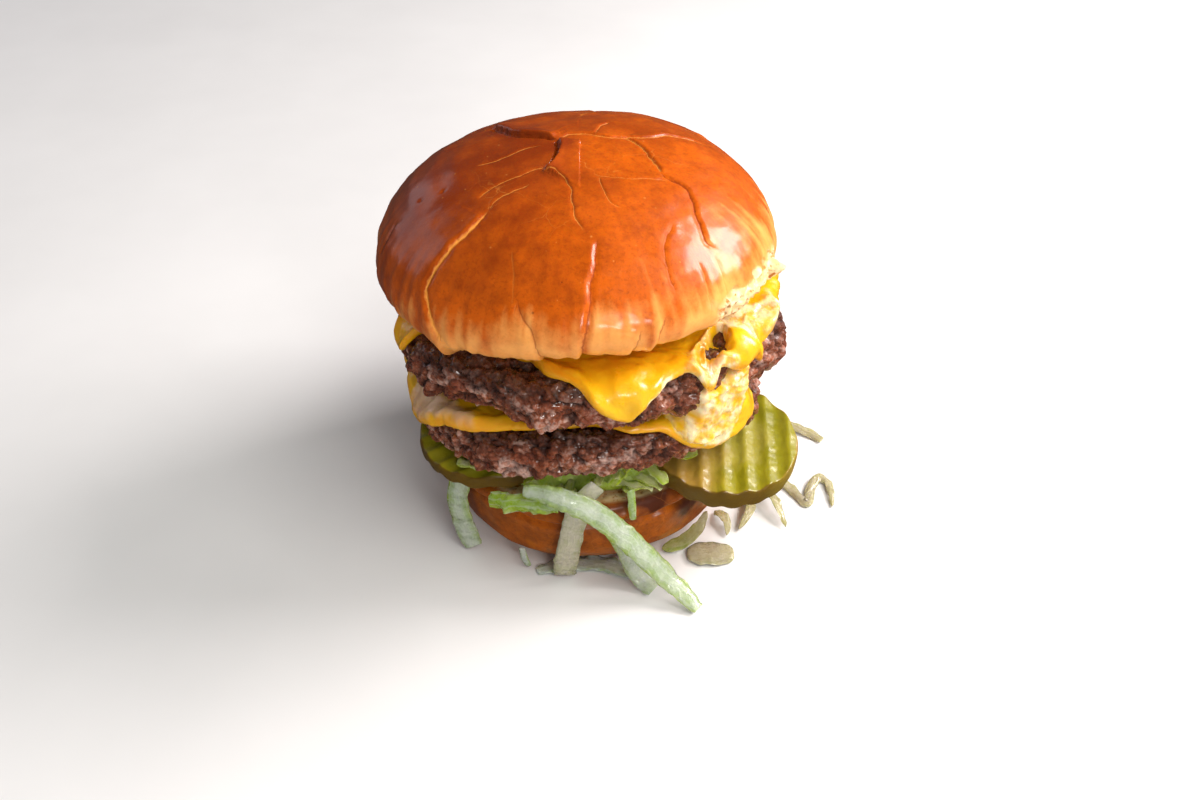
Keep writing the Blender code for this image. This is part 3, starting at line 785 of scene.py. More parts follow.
def make_patty(name, node, seed, sear_from, sear_to, swells):
    """A patty: a net round its solid, pushed into nuggets. Returns what the cheese needs to lie on it."""
    low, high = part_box(node)
    middle = (low + high) / 2 / MM
    net = wrap(node, (0.0, 0.0, middle.z), disc_angles(51.0, 13.0, 60, 150))
    reach = np.linalg.norm(net[..., :2], axis=2)
    net = even_rings(net, PATTY_RINGS, np.where(reach > 42.0, 1.0, 0.16))
    net = soften(more_columns(net, PATTY_COLUMNS), 5, 30)
    out = outward(net)
    big, big_gap, big_shade = nuggets(net, 5.2, seed)
    small, small_gap, small_shade = nuggets(net, 2.5, seed + 5)
    push = 1.00 * big + 0.75 * small + 1.2 * lumps(net, 9.0, seed) + 0.45 * lumps(net, 1.8, seed + 2, 4) - 1.1
    crevice = hill(big_gap, 0.13) * rise(-0.5, 0.4, lumps(net, 4.0, seed + 3))
    push -= 0.8 * crevice + 0.30 * hill(small_gap, 0.12)
    side = (net[..., 2] - net[..., 2].mean(0)) / 7.0
    ragged = hill(side + 0.75, 0.5) * rise(42.0, 50.0, np.linalg.norm(net[..., :2], axis=2))
    push += 1.5 * ragged * lumps(net, 4.5, seed + 8)
    for x, y, z, size, height in swells:
        push += height * around(net, x, y, z, size)
    dense = net + out * push[..., None]
    sear = rise(sear_from, sear_to, side + 0.35 * lumps(net, 6.0, seed + 9))
    add_net(name, dense, beef, [node], {
        "nugget": 0.6 * big_shade + 0.4 * small_shade,
        "crevice": np.clip(0.85 * crevice + 0.5 * hill(small_gap, 0.10), 0, 0.9),
        "sear": 0.72 * sear,
    })
    return {"net": net, "out": out, "push": push}


# %% Both patties
# swells: x, y, z, size, and height, below 0 for a dent
upper_patty = make_patty("upper_patty", "patty_upper", 1.0, 0.1, 0.9, (
    (49.0, -21.0, 60.0, 9.0, 5.0), (27.0, -44.5, 55.0, 5.0, 1.2), (-28.5, -42.0, 56.5, 6.0, -2.8),
    (-22.0, -46.0, 57.0, 6.0, -2.8), (-9.0, -51.0, 56.5, 6.0, 1.0)))
lower_patty = make_patty("lower_patty", "patty_lower", 2.0, 0.35, 1.0, (
    (45.5, -25.0, 44.0, 8.0, 3.2), (24.0, -45.0, 42.0, 5.0, 0.8)))

# %% [markdown]
# ## The cheese's finish
#
# Melted cheese is smooth and glossy, and light goes a little way into it, which makes its thin lip glow
# orange. That is what subsurface scattering is for. `cream` marks where pale sauce has mixed with it,
# `sauce` where a beige film lies on it, `brown` where it has caught on the pan
# and, in its hollows, painted shade, and `rim` the deeper orange line along its lip, which is painted glow of
# light through the thin lip and painted shade under it.

# %% Cheese material
cheese, tree, shader = start_finish(
    "melted_cheese", Subsurface_Weight=0.30, Subsurface_Radius=(1.0, 0.38, 0.05), Subsurface_Scale=0.0022,
    Coat_Roughness=0.12, Specular_IOR_Level=0.5)
melt = stir(tree, patches(tree, Size=9.0, Detail=2.0), colour(0.88, 0.50, 0.005), colour(0.80, 0.40, 0.003))
froth = patches(tree, Size=3.4, Low=0.38, High=0.54, Detail=3.0)
creamy = times(tree, mask(tree, "cream"), spread(tree, froth, 0.15, 1.0))
melt = stir(tree, creamy, melt, colour(0.97, 0.78, 0.45))
melt = stir(tree, mask(tree, "sauce"), melt, colour(0.74, 0.46, 0.27))
crumbs = dots(tree, Size=4.2, Dot=0.11, Share=0.4)
melt = stir(tree, times(tree, crumbs, 0.75), melt, colour(0.30, 0.07, 0.008))
# Painted glow and shade: the lip is painted a deeper orange.
melt = stir(tree, mask(tree, "rim"), melt, colour(0.84, 0.32, 0.003))
# Darker brown where the cheese caught on the pan, and painted shade in its hollows.
melt = stir(tree, mask(tree, "brown"), melt, colour(0.45, 0.14, 0.012))
feed(tree, shader.inputs["Base Color"], melt)
oily = patches(tree, Size=4.0, Low=0.4, High=0.7, Detail=2.0)
feed(tree, shader.inputs["Roughness"], spread(tree, oily, 0.42, 0.26))
feed(tree, shader.inputs["Coat Weight"], larger(tree, spread(tree, oily, 0.25, 0.65), creamy))
height = plus(tree, bumps(tree, Size=2.4, Detail=2.0), times(tree, creamy, 1.6))
emboss(tree, shader, height, 0.4, 0.0006)
print("finish:", cheese.name)

# %% [markdown]
# ## The melted slices
#
# A slice follows whatever it lies on, so it is built on the patty's own net: out over the top, round the
# corner and down the side, as far as the solid slice reaches in each direction. Its lip is a rounded bead,
# thicker than the rest, because melted cheese runs down and gathers there. Where a bite of patty shows
# through, the slice dives under the patty's skin.

# %% Measure how a slice lies on its patty
def ways_along(net):
    """The distance of each point from the top's middle, along the skin."""
    steps = np.linalg.norm(np.diff(net, axis=0), axis=2)
    return np.concatenate([np.zeros((1, net.shape[1])), np.cumsum(steps, axis=0)])


def at_ways(field, ways, wanted):
    """A field of the net, looked up at wanted distances along each column."""
    flat = field.reshape(*field.shape[:2], -1)
    made = np.empty((*wanted.shape, flat.shape[2]))
    for column in range(wanted.shape[1]):
        for k in range(flat.shape[2]):
            made[:, column, k] = np.interp(wanted[:, column], ways[:, column], flat[:, column, k])
    return made.reshape(*wanted.shape, *field.shape[2:])


def cover(patty, node, every=4, clear=9.0):
    """For every few columns: how far the slice reaches along the skin, and how high its outer face stands."""
    skin = skin_of(node)
    net, out = patty["net"][:, ::every], patty["out"][:, ::every]
    ways = ways_along(net)
    stand = np.zeros(net.shape[:2])
    for place in np.ndindex(stand.shape):
        start = Vector(net[place] + out[place] * clear) * MM
        found = skin.ray_cast(start, -Vector(out[place]), clear * MM)[3]
        stand[place] = 0.0 if found is None else clear - found / MM
    reach = np.where(stand > 0.2, ways, 0.0).max(0)
    wanted = np.clip(reach - 3.0, 0.0, None)[None]
    return reach, at_ways(stand, ways, wanted)[0]


print("the upper slice reaches", cover(upper_patty, "cheese_upper", 90)[0].round(1), "mm along the skin")

# %% [markdown]
# Melted cheese tears, runs and sticks in shapes that noise won't give. Those shapes are drawn as outlines
# on the patty's skin, unrolled flat like a label off a tin: a place is its azimuth in degrees and its
# distance in millimetres along the skin from the top's middle. The same few lines serve for windows with
# meat behind them, for sauce, and for threads of cheese.

# %% Outlines on the unrolled skin
def unrolled(azimuths, along_skin):
    """Places on the skin as flat points in millimetres."""
    return np.stack([np.radians(azimuths) * 50.0, along_skin + 0.0 * azimuths], axis=-1)


def line_gap(places, corners, closed=False):
    """How far flat places are from a line through corners (azimuth, mm along the skin)."""
    line = unrolled(*np.array(corners, float).T)
    starts, ends = (line, np.roll(line, -1, 0)) if closed else (line[:-1], line[1:])
    nearest = np.full(places.shape[:-1], 99.0)
    for start, end in zip(starts, ends):
        side = end - start
        share = np.clip(((places - start) @ side) / (side @ side), 0, 1)
        nearest = np.minimum(nearest, np.linalg.norm(places - start - share[..., None] * side, axis=-1))
    return nearest


def depth_in(places, corners):
    """How deep flat places lie inside a closed outline, below 0 outside it."""
    line = unrolled(*np.array(corners, float).T)
    inside = np.zeros(places.shape[:-1], bool)
    x, y = places[..., 0], places[..., 1]
    for (ax, ay), (bx, by) in zip(line, np.roll(line, -1, 0)):
        crosses = (ay > y) != (by > y)
        inside ^= crosses & (x < (bx - ax) * (y - ay) / (by - ay if by != ay else 1.0) + ax)
    return np.where(inside, 1.0, -1.0) * line_gap(places, corners, True)


square = ((0, 0), (11.46, 0), (11.46, 10), (0, 10))
print("depth in the middle of a 10 mm square:", depth_in(np.array([5.0, 5.0]), square))

# %% The lip of a slice
SLICE_RINGS, SLICE_COLUMNS = 84, 468
SLICE_START = 27.0  # how far from the top's middle, along the skin, a slice's hidden inner edge lies, in mm
slice_azimuths = np.arange(SLICE_COLUMNS) * 360.0 / SLICE_COLUMNS


def widen(values):
    """Values round the burger, blurred and spread over a slice's columns."""
    for _ in range(3):
        values = (np.roll(values, 1) + values * 2 + np.roll(values, -1)) / 4
    return more_columns(values[None, :, None], SLICE_COLUMNS)[0, :, 0]


def draw_lips(reach, lips, seed):
    """A slice's reach made uneven, and drawn point by point where lips say."""
    ring = on_drum(slice_azimuths, 52)
    reach = reach + 0.8 * lumps(ring, 8.0, seed) + 0.5 * lumps(ring, 2.6, seed + 1)
    for lip in lips:
        at, reaches = np.array(lip, float).T
        known = rise(at[0] - 4, at[0], slice_azimuths) * rise(at[-1] + 4, at[-1], slice_azimuths)
        drawn = np.interp(slice_azimuths, at, reaches) + 0.25 * lumps(ring, 2.0, seed + 1)
        reach = reach + (drawn - reach) * known
    return reach


print("slice net:", (SLICE_RINGS, SLICE_COLUMNS))


# %% Small tools for a slice
def highest(shape, fields):
    """The highest of several fields at each point, and at least 0."""
    made = np.zeros(shape)
    for field in fields:
        made = np.maximum(made, field)
    return made


def hub(face):
    """A face's first ring drawn in to the axis."""
    return face[:1] * (0, 0, 1) + face[:1].mean(1, keepdims=True) * (1, 1, 0)


def section(stand, lump, thins, from_lip):
    """How high a slice's middle layer lies, and how far the slice bulges up and down from it."""
    body = np.clip(stand - 0.5, 1.7, 4.5)
    for azimuth, half_width, share in thins:
        body = body * (1.0 - (1.0 - share) * hill(round_gap(slice_azimuths, azimuth), half_width))
    thick = body[None] * (0.86 + 0.26 * hill(from_lip - 1.7, 1.7))
    bulge = 0.5 * thick * np.sqrt(1.0 - (1.0 - np.clip(from_lip / (0.55 * thick), 0, 1)) ** 2)
    return 0.35 + 0.5 * thick + 0.45 * np.clip(lump, -0.6, 1.2), bulge


def creaminess(flat, from_lip, wobble, threads, creams, edge_creams):
    """Where pale sauce has mixed into a slice."""
    milk = (milky * hill(line_gap(flat, line), width) for width, height, milky, line in threads)
    cream = highest(from_lip.shape, milk)
    for outline in creams:
        cream = np.maximum(cream, rise(-0.6, 0.5, depth_in(flat, outline) + 2.0 * wobble))
    for azimuth, half_width, deep in edge_creams:
        away = abs(round_gap(slice_azimuths, azimuth))
        near = rise(deep, 0.4 * deep, from_lip + 2.0 * wobble) * rise(half_width, half_width - 2, away)
        cream = np.maximum(cream, near)
    return cream


print("the highest of two fields:", highest((2,), (np.array((0.2, 0.9)), np.array((0.6, 0.1)))))


# %% Build a slice of cheese
def make_slice(name, node, patty, seed, lips, thins, swells, windows, hollows, threads, creams, edge_creams,
               bubbly, sauces=()):
    """A melted slice on a patty. Returns its upper face."""
    base, out = more_columns(patty["net"], SLICE_COLUMNS), more_columns(patty["out"], SLICE_COLUMNS)
    pushed = soften(more_columns(patty["push"][..., None], SLICE_COLUMNS), 3, 5)[..., 0]
    ways = ways_along(base)
    reach, stand = (widen(values) for values in cover(patty, node))
    reach = draw_lips(reach, lips, seed)
    shares = np.linspace(0.0, 1.0, SLICE_RINGS)[:, None] ** 0.5
    wanted = SLICE_START + (reach - SLICE_START)[None] * shares
    skin, outs, lump = (at_ways(field, ways, wanted) for field in (base, out, pushed))
    flat = unrolled(slice_azimuths[None] + 0 * wanted, wanted)
    from_lip = reach[None] - wanted
    wobble = 0.40 * lumps(skin, 2.2, seed + 6, 3)
    middle, bulge = section(stand, lump, thins, from_lip)
    face = skin + outs * (middle + bulge)[..., None]

    wrinkle = 0.60 * lumps(skin, 6.0, seed + 2) + 0.20 * lumps(skin, 2.4, seed + 3)
    boil = highest(wanted.shape, (around(face, *place) for place in bubbly))
    wrinkle += boil * (0.65 * lumps(skin, 3.2, seed + 4) + 0.35 * lumps(skin, 1.5, seed + 5))
    for x, y, z, size, height in swells:
        wrinkle += height * around(face, x, y, z, size)
    sunk = highest(wanted.shape, (rise(-0.9, 0.1, depth_in(flat, outline) + wobble) for outline in windows))
    brown = rise(0.55, 0.95, lumps(skin, 3.0, seed + 8, 3)) * rise(30.0, 48.0, wanted) * 0.5
    # Painted shade: each hollow is browned as well as sunk.
    for depth, stain, outline in hollows:
        low = rise(-0.5, 0.9, depth_in(flat, outline) + wobble)
        wrinkle -= depth * low
        brown = np.maximum(brown, stain * low)
    for width, height, milky, line in threads:
        near = hill(line_gap(flat, line), width)
        wrinkle += height * near
        sunk = sunk * (1.0 - np.minimum(1.2 * near, 1.0))
    cream = creaminess(flat, from_lip, wobble, threads, creams, edge_creams)
    films = (rise(-0.7, 0.9, depth_in(flat, outline) + 2.0 * wobble) for outline in sauces)
    sauce = highest(wanted.shape, films)
    wrinkle += 0.5 * sauce

    top = (middle + bulge + wrinkle * rise(0.0, 1.2, from_lip)) * (1 - sunk) - 1.6 * sunk
    foot = (middle - bulge) * (1 - sunk) - 2.4 * sunk
    upper = skin + outs * top[..., None]
    lower = skin + outs * foot[..., None]
    back = np.r_[SLICE_RINGS - 2:SLICE_RINGS - 8:-1, SLICE_RINGS - 8:-1:-5]
    net = np.concatenate([hub(upper), upper, lower[back], hub(lower)])
    # The lip's deeper orange is painted glow of light through the thin cheese and painted shade under it.
    rim = 0.55 * rise(2.4, 0.4, from_lip + wobble) * (1 - cream)
    add_net(name, net, cheese, [node], {
        mark: np.concatenate([values[:1], values, values[back], values[:1]])
        for mark, values in (("cream", cream), ("brown", brown), ("sauce", 0.85 * sauce), ("rim", rim))
    })
    return upper


# %% The upper slice
# lips: azimuth and mm along the skin; thins: azimuth, half-width, share of the thickness that is kept;
# swells: x, y, z, size, height; windows, creams and beige films: outlines; hollows: depth, painted shade
# (how brown the hollow is painted), outline; threads: width, height, milkiness, line; edge_creams: azimuth,
# half-width, mm in from the lip; bubbly: x, y, z, size
make_slice(
    "upper_slice", "cheese_upper", upper_patty, 11.0,
    lips=(((196, 47), (199, 50), (202, 52), (205, 52), (207, 49), (209, 43)),
          ((253.3, 40.2), (257, 43.0), (259.6, 45.6), (262.6, 46.5), (267.2, 47.6), (270.4, 49.2),
           (272.5, 51), (274.1, 52.5), (277.4, 54.8), (279.2, 55.8), (280.9, 56.6), (282.5, 57.0),
           (284, 56.2), (285.4, 54.8), (287.5, 53.4), (289.5, 52.4), (291.9, 51.3), (294.1, 50.2),
           (296.3, 49.6), (298.6, 49.3), (301.3, 49.4), (303, 50.6), (304.2, 52.4), (305.1, 54.5),
           (306.6, 55.4), (308, 54.5), (308.6, 53), (310.7, 51.4), (312.6, 51.8), (314.9, 53.4),
           (317.6, 54.1), (320, 53.9), (322.1, 53.3), (324.2, 54.0), (325.2, 56.4), (326, 55.4),
           (326.8, 52.8), (328.7, 52.4), (331.8, 52), (336.5, 51.5), (342, 50.5))),
    thins=((296.0, 7.0, 0.6), (304.0, 8.0, 0.55), (311.0, 6.0, 0.6), (326.5, 3.0, 0.6), (203.0, 6.0, 0.7)),
    swells=((11.5, -54.5, 70.5, 4.6, 1.3), (-1.0, -51.0, 74.0, 4.0, -0.9), (7.0, -50.0, 74.5, 4.0, -0.8),
            (17.5, -49.8, 73.5, 2.2, -0.8), (20.0, -52.0, 69.0, 3.0, 0.5), (38.6, -36.2, 72.8, 3.6, 1.5),
            (47.5, -25.5, 74.0, 3.0, 1.0), (4.0, -55.5, 68.5, 4.0, 0.6)),
    windows=(((319.9, 42.8), (322, 43.6), (319.6, 46.6), (315.6, 48.9), (312.0, 48.8), (310, 48),
              (312.3, 45.6), (316.4, 43.6)),),
    hollows=((1.0, 0.6, ((311.9, 43.6), (315, 43.6), (311.6, 46.8), (309.8, 48.1), (311.6, 49.4),
                         (310.2, 50.9), (307.5, 51.0), (305.4, 50.5), (304.9, 48.8), (306.7, 46.6))),
             (1.3, 0.35, ((337, 47.8), (338.8, 49.2), (337.3, 50.2), (334.4, 50.4), (330, 49.9),
                          (329.6, 48.6), (332.7, 47.8)))),
    threads=((0.55, 0.8, 0.5, ((316.5, 43.0), (309.5, 44.0), (305.8, 46.0), (303.6, 48.4), (299.0, 49.6))),
             (0.7, 0.7, 1.0, ((311.4, 51.0), (312.8, 49.4), (314.6, 51.2))),
             (0.6, 0.8, 1.0, ((329.5, 50.8), (334.6, 50.9), (338.6, 50.2), (340.0, 48.4)))),
    creams=(((326.7, 40), (329.8, 43.7), (334.3, 46), (337.9, 48.2), (343.5, 48.1), (338.4, 50.6),
             (333.4, 50.1), (328.7, 49.5), (325.4, 49.7), (323.2, 47.8), (321.1, 46.1), (320.2, 44.9),
             (321.8, 41.8)),
            ((300.6, 49.2), (303.7, 49.6), (306.4, 51), (310.9, 49.8), (313.4, 50.1), (314.6, 51.9),
             (312.4, 51.8), (309.6, 52.4), (307.2, 53.4), (304.4, 52.8), (302.1, 51.2))),
    edge_creams=((289.0, 8.0, 1.3),),
    bubbly=((35.0, -38.0, 74.0, 7.0), (46.0, -26.0, 74.0, 8.0)))

# %% The lower slice
lower_slice = make_slice(
    "lower_slice", "cheese_lower", lower_patty, 23.0,
    lips=(((200, 47.5), (202, 48.6), (205.6, 51), (211.5, 51), (220.8, 49.1), (225.8, 47.8), (231, 47.6),
           (236, 47.3), (242.1, 46.2), (248.5, 44.8), (255.2, 44.2), (265, 43), (275, 42.6), (281, 44.5),
           (284.9, 46.6), (291.1, 47), (294.5, 47.4), (296.3, 48.4), (298.2, 49.8), (300, 51.2), (303, 53.4),
           (306.5, 54.8), (310, 56.4), (314, 57.4), (317, 57.6), (320, 57), (323, 56.2), (325.4, 54.6),
           (326.8, 51), (328.5, 46.5), (332, 44.5), (345, 44), (356, 46)),),
    thins=((270.0, 22.0, 0.6), (206.0, 12.0, 0.6)),
    swells=((34.0, -42.0, 49.0, 4.0, 0.9), (39.0, -37.5, 47.0, 3.4, 1.0), (-30.0, -40.0, 52.0, 4.0, 0.6)),
    windows=(), hollows=(), threads=(),
    creams=(((297.9, 46), (300.3, 46.6), (303.8, 47.4), (305.2, 49.1), (302.9, 50.1), (300.2, 49.1),
             (298.4, 48)),
            ((313, 43), (319, 43), (320, 47.8), (320, 51), (318, 54), (314.5, 55.6), (311.6, 55.4),
             (306.9, 53), (306.2, 50.2), (305.4, 48.3), (306.2, 46), (310.1, 44))),
    edge_creams=(), bubbly=((38.0, -39.0, 49.0, 8.0),),
    sauces=(((203, 44.0), (208.4, 41.6), (219.9, 42.7), (228.0, 43.4), (235.8, 45.3), (238.5, 46.4),
             (234.8, 47.0), (227.9, 46.2), (221.6, 47.0), (215.7, 48.9), (209.3, 48.8), (204.0, 47.5)),))

# %% [markdown]
# ## The curtain of cheese
#
# At the right, cheese has stretched from the upper patty's side down to the lobe below it, like a curtain.
# Nothing lies behind its lower half, so it needs a surface of its own to be raised from: an apron that
# starts on the patty's side and ends on the lobe.

# %% An apron between the upper patty and the lower slice
def radius_at(net, azimuth, height):
    """How far out a net stands at an azimuth in degrees and a height, on its side."""
    column = net[:, int(azimuth / 360.0 * net.shape[1]) % net.shape[1]]
    column = column[np.linalg.norm(column[:, :2], axis=1) > 40.0]
    order = np.argsort(column[:, 2])
    return np.interp(height, column[order, 2], np.linalg.norm(column[order, :2], axis=1))


APRON_SIDE = 110  # how many rows and columns the apron has
apron_azimuths = np.linspace(296.0, 330.0, APRON_SIDE)
apron_heights = np.linspace(70.0, 42.0, APRON_SIDE)
hangs = rise(62.0, 49.0, apron_heights)
apron = np.empty((APRON_SIDE, APRON_SIDE, 3))
for column, azimuth in enumerate(apron_azimuths):
    at_patty = radius_at(upper_patty["net"], azimuth, np.maximum(apron_heights, 62.0)) + 0.6
    at_lobe = radius_at(lower_slice, azimuth, np.minimum(apron_heights, 48.0)) - 0.8
    reach_out = at_patty * (1 - hangs) + at_lobe * hangs
    apron[:, column, 0] = reach_out * math.cos(math.radians(azimuth))
    apron[:, column, 1] = reach_out * math.sin(math.radians(azimuth))
    apron[:, column, 2] = apron_heights
apron = soften(apron, 6, 0)
apron_out = apron * (1, 1, 0) / np.linalg.norm(apron[..., :2], axis=2, keepdims=True)
print("apron stands", np.linalg.norm(apron[..., :2], axis=2).round(1).min(), "mm or more from the axis")

# %% [markdown]
# The curtain is a patch of the apron, raised in the middle and dipping under the surface all round its
# edge, so no edge has to be sewn on. Its height keeps falling past the edge instead of stopping there,
# which is why the edge comes out smooth.

# %% Raise the curtain from the apron
CURTAIN_OUTLINE = (  # azimuth in degrees, height in mm
    (321.6, 66.0), (319.1, 65.3), (316.5, 64.4), (314.3, 64.1), (312.3, 62.9), (309.3, 62.5), (305.9, 63.0),
    (303.9, 62.5), (304.3, 59.3), (303.6, 56.6), (301.5, 54.0), (298.5, 52.5), (299.5, 49.0), (305.0, 46.0),
    (314.0, 45.0), (321.0, 47.0), (322.0, 52.0), (321.8, 58.0))
apron_turn = np.degrees(np.arctan2(apron[..., 1], apron[..., 0])) % 360
over = depth_in(unrolled(apron_turn, apron[..., 2]), CURTAIN_OUTLINE) / 3.0
close = over > -0.6
over[close] += 0.10 * lumps(apron[close], 4.0, 51.0) + 0.08 * lumps(apron[close], 1.6, 52.0)
rows, columns = np.where(over > -0.25)
cut = (slice(max(rows.min() - 2, 0), rows.max() + 3), slice(max(columns.min() - 2, 0), columns.max() + 3))
patch, patch_out, over = apron[cut], apron_out[cut], over[cut]
swell = np.sqrt(np.clip(over * 3.2, 0, 1))
ripple = (0.75 * lumps(patch, 3.6, 53.0, 3) + 0.25 * lumps(patch, 1.5, 54.0)) * rise(0.0, 0.3, over)
raised = 1.5 * swell + ripple + np.clip(over, -0.6, 0.0) * 7.0
print("the curtain stands proud of its apron by at most", raised.max().round(2), "mm")


# %% Add the curtain
def closed_patch(rows, columns):
    """The faces of a patch, of its underside, and of the skirt that joins them."""
    index = np.arange(rows * columns).reshape(rows, columns)
    quads = np.stack([index[:-1, :-1], index[1:, :-1], index[1:, 1:], index[:-1, 1:]], axis=-1).reshape(-1, 4)
    border = np.concatenate([index[0, :-1], index[:-1, -1], index[-1, :0:-1], index[:0:-1, 0]])
    following = np.roll(border, -1)
    skirt = np.stack([border, following, following + index.size, border + index.size], axis=-1)
    return quads.tolist() + (quads[:, ::-1] + index.size).tolist() + skirt.tolist()


curtain_top = patch + patch_out * raised[..., None]
curtain_foot = patch - patch_out * 5.0
curtain_cream = np.tile(np.clip(0.70 + 1.3 * lumps(patch, 3.2, 41.0), 0, 1).ravel(), 2)
curtain_points = np.concatenate([curtain_top.reshape(-1, 3), curtain_foot.reshape(-1, 3)])
add_piece("cheese_curtain", curtain_points, closed_patch(*over.shape), cheese, (), {
    "cream": curtain_cream,
    "brown": 0.0 * curtain_cream,
    "sauce": 0.0 * curtain_cream,
    "rim": 0.0 * curtain_cream,
})

# %% [markdown]
# ## The pickle's finish
#
# A pickle chip is full of brine, so light goes deep into it and it shines. Its flesh is yellow-green, amber
# where it is thick and in shade, and paler round the seeds; its skin is dark olive. Subsurface scattering
# again does the glow, and a clear coat the wetness.

# %% Pickle material
pickle, tree, shader = start_finish(
    "wet_pickle", Subsurface_Weight=0.45, Subsurface_Radius=(1.0, 0.85, 0.12), Subsurface_Scale=0.0028,
    Coat_Roughness=0.06, Coat_IOR=1.4, Coat_Weight=0.35, Specular_IOR_Level=0.5)
flesh = stir(tree, patches(tree, Size=6.0, Detail=3.0), colour(0.215, 0.20, 0.005),
             colour(0.31, 0.275, 0.008))
flesh = stir(tree, mask(tree, "pulp"), flesh, colour(0.34, 0.29, 0.040))
seeds = dots(tree, Size=3.4, Dot=0.5, Share=0.6)
seeds_shown = times(tree, seeds, times(tree, mask(tree, "pulp"), 0.5))
flesh = stir(tree, seeds_shown, flesh, colour(0.62, 0.53, 0.20))
flesh = stir(tree, mask(tree, "amber"), flesh, colour(0.36, 0.20, 0.040))
flesh = stir(tree, mask(tree, "peel"), flesh, colour(0.125, 0.064, 0.002))
feed(tree, shader.inputs["Base Color"], flesh)
feed(tree, shader.inputs["Roughness"], spread(tree, patches(tree, Size=2.0), 0.46, 0.30))
emboss(tree, shader, bumps(tree, Size=1.4, Detail=3.0), 0.35, 0.0004)
print("finish:", pickle.name)

# %% [markdown]
# ## The pickle chips
#
# A chip is a disc cut with a wavy blade. Both faces follow the same wave, so its rim is scalloped. A net in
# the chip's own frame, X across the waves and Z up, is bent by that wave, then tipped and set in place.

# %% Where a chip lies
WAVE_PITCH, WAVE_DEPTH = 6.1, 0.92
CHIP_TOP_RINGS, CHIP_UNDER_RINGS, CHIP_COLUMNS = 52, 16, 300


def chip_frame(node, downhill, slope, ridges):
    """Where a chip lies: its middle from its solid, then its slope and its ridges' turn, in degrees."""
    low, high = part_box(node)
    fall = math.radians(downhill)
    tilt = Matrix.Rotation(math.radians(slope), 4, Vector((-math.sin(fall), math.cos(fall), 0.0)))
    turn = Matrix.Rotation(math.radians(ridges - 90.0), 4, "Z")
    return Matrix.Translation((low + high) / 2 / MM) @ tilt @ turn


print("a chip has", math.floor(2 * 21.2 / WAVE_PITCH), "waves across it")


# %% Build a chip
def make_chip(name, node, radius, thick, place, seed):
    """A crinkle-cut chip."""
    half = thick / 2
    side = np.linspace(0.0, math.pi, 22)[1:-1]
    reach = np.concatenate([np.linspace(0.0, radius - 0.8, CHIP_TOP_RINGS),
                            radius - 0.8 + 0.8 * np.sin(side) ** 0.6,
                            np.linspace(radius - 0.8, 0.0, CHIP_UNDER_RINGS)])
    level = np.concatenate([np.full(CHIP_TOP_RINGS, half), half * np.cos(side),
                            np.full(CHIP_UNDER_RINGS, -half)])
    azimuths = np.linspace(0, math.tau, CHIP_COLUMNS, endpoint=False)
    across, lengthways = reach[:, None] * np.cos(azimuths), reach[:, None] * np.sin(azimuths)
    net = np.stack([across, lengthways, level[:, None] + 0 * across], axis=-1)
    on_rim = net / np.maximum(reach, 1e-6)[:, None, None] * radius
    net[..., :2] *= (1.0 + 0.014 * lumps(on_rim, 9.0, seed))[..., None]
    wave = np.cos(math.tau * net[..., 0] / WAVE_PITCH)
    net[..., 2] += 0.5 * WAVE_DEPTH * (wave + 0.25 * wave**2) + 0.22 * lumps(net, 6.0, seed + 1)
    net[..., 2] += 0.08 * lumps(net, 1.6, seed + 2) * (net[..., 2] > 0)
    from_middle = np.linalg.norm(net[..., :2], axis=2)
    peel = rise(radius - 0.9, radius - 0.4, from_middle + 0.3 * lumps(net, 2.0, seed + 3))
    pulp = rise(0.66 * radius, 0.48 * radius, from_middle + 1.6 * lumps(net, 5.0, seed + 4))
    lie = np.array(place)
    net = net @ lie[:3, :3].T + lie[:3, 3]
    amber = rise(44.0, 26.0, net[..., 0] + 5.0 * lumps(net, 7.0, seed + 5)) * (net[..., 0] > 0) * 0.85
    sunlit = rise(48.0, 60.0, net[..., 0])
    amber = np.maximum(amber, 0.7 * peel * sunlit)
    peel = peel * (1.0 - 0.85 * sunlit)
    add_net(name, net, pickle, [node], {"peel": 0.95 * peel, "pulp": 0.75 * pulp, "amber": amber})


# %% Both chips
# solid; radius and thickness in mm; which way it slopes, how steeply, and its ridges' turn, in degrees; seed
CHIPS = {
    "front_chip": ("pickle_front", 21.2, 5.7, (300, 7.6, 88), 31.0),
    "left_chip": ("pickle_left", 22.0, 3.9, (215, 6.2, 30), 37.0),
}
laid_chips = []
for name, (node, radius, thick, lie, seed) in CHIPS.items():
    place = chip_frame(node, *lie)
    laid_chips.append((place, radius, thick))
    make_chip(name, node, radius, thick, place, seed)

# %% [markdown]
# ## The heel
#
# The heel is the bun's flat lower half. Its cut edge was toasted, so it is dark, the side has a soft fold
# where the weight above presses it, and the skin gets paler towards the foot. It takes the same crust, with
# darker colours, which are partly its own and partly painted shade from the burger above it.

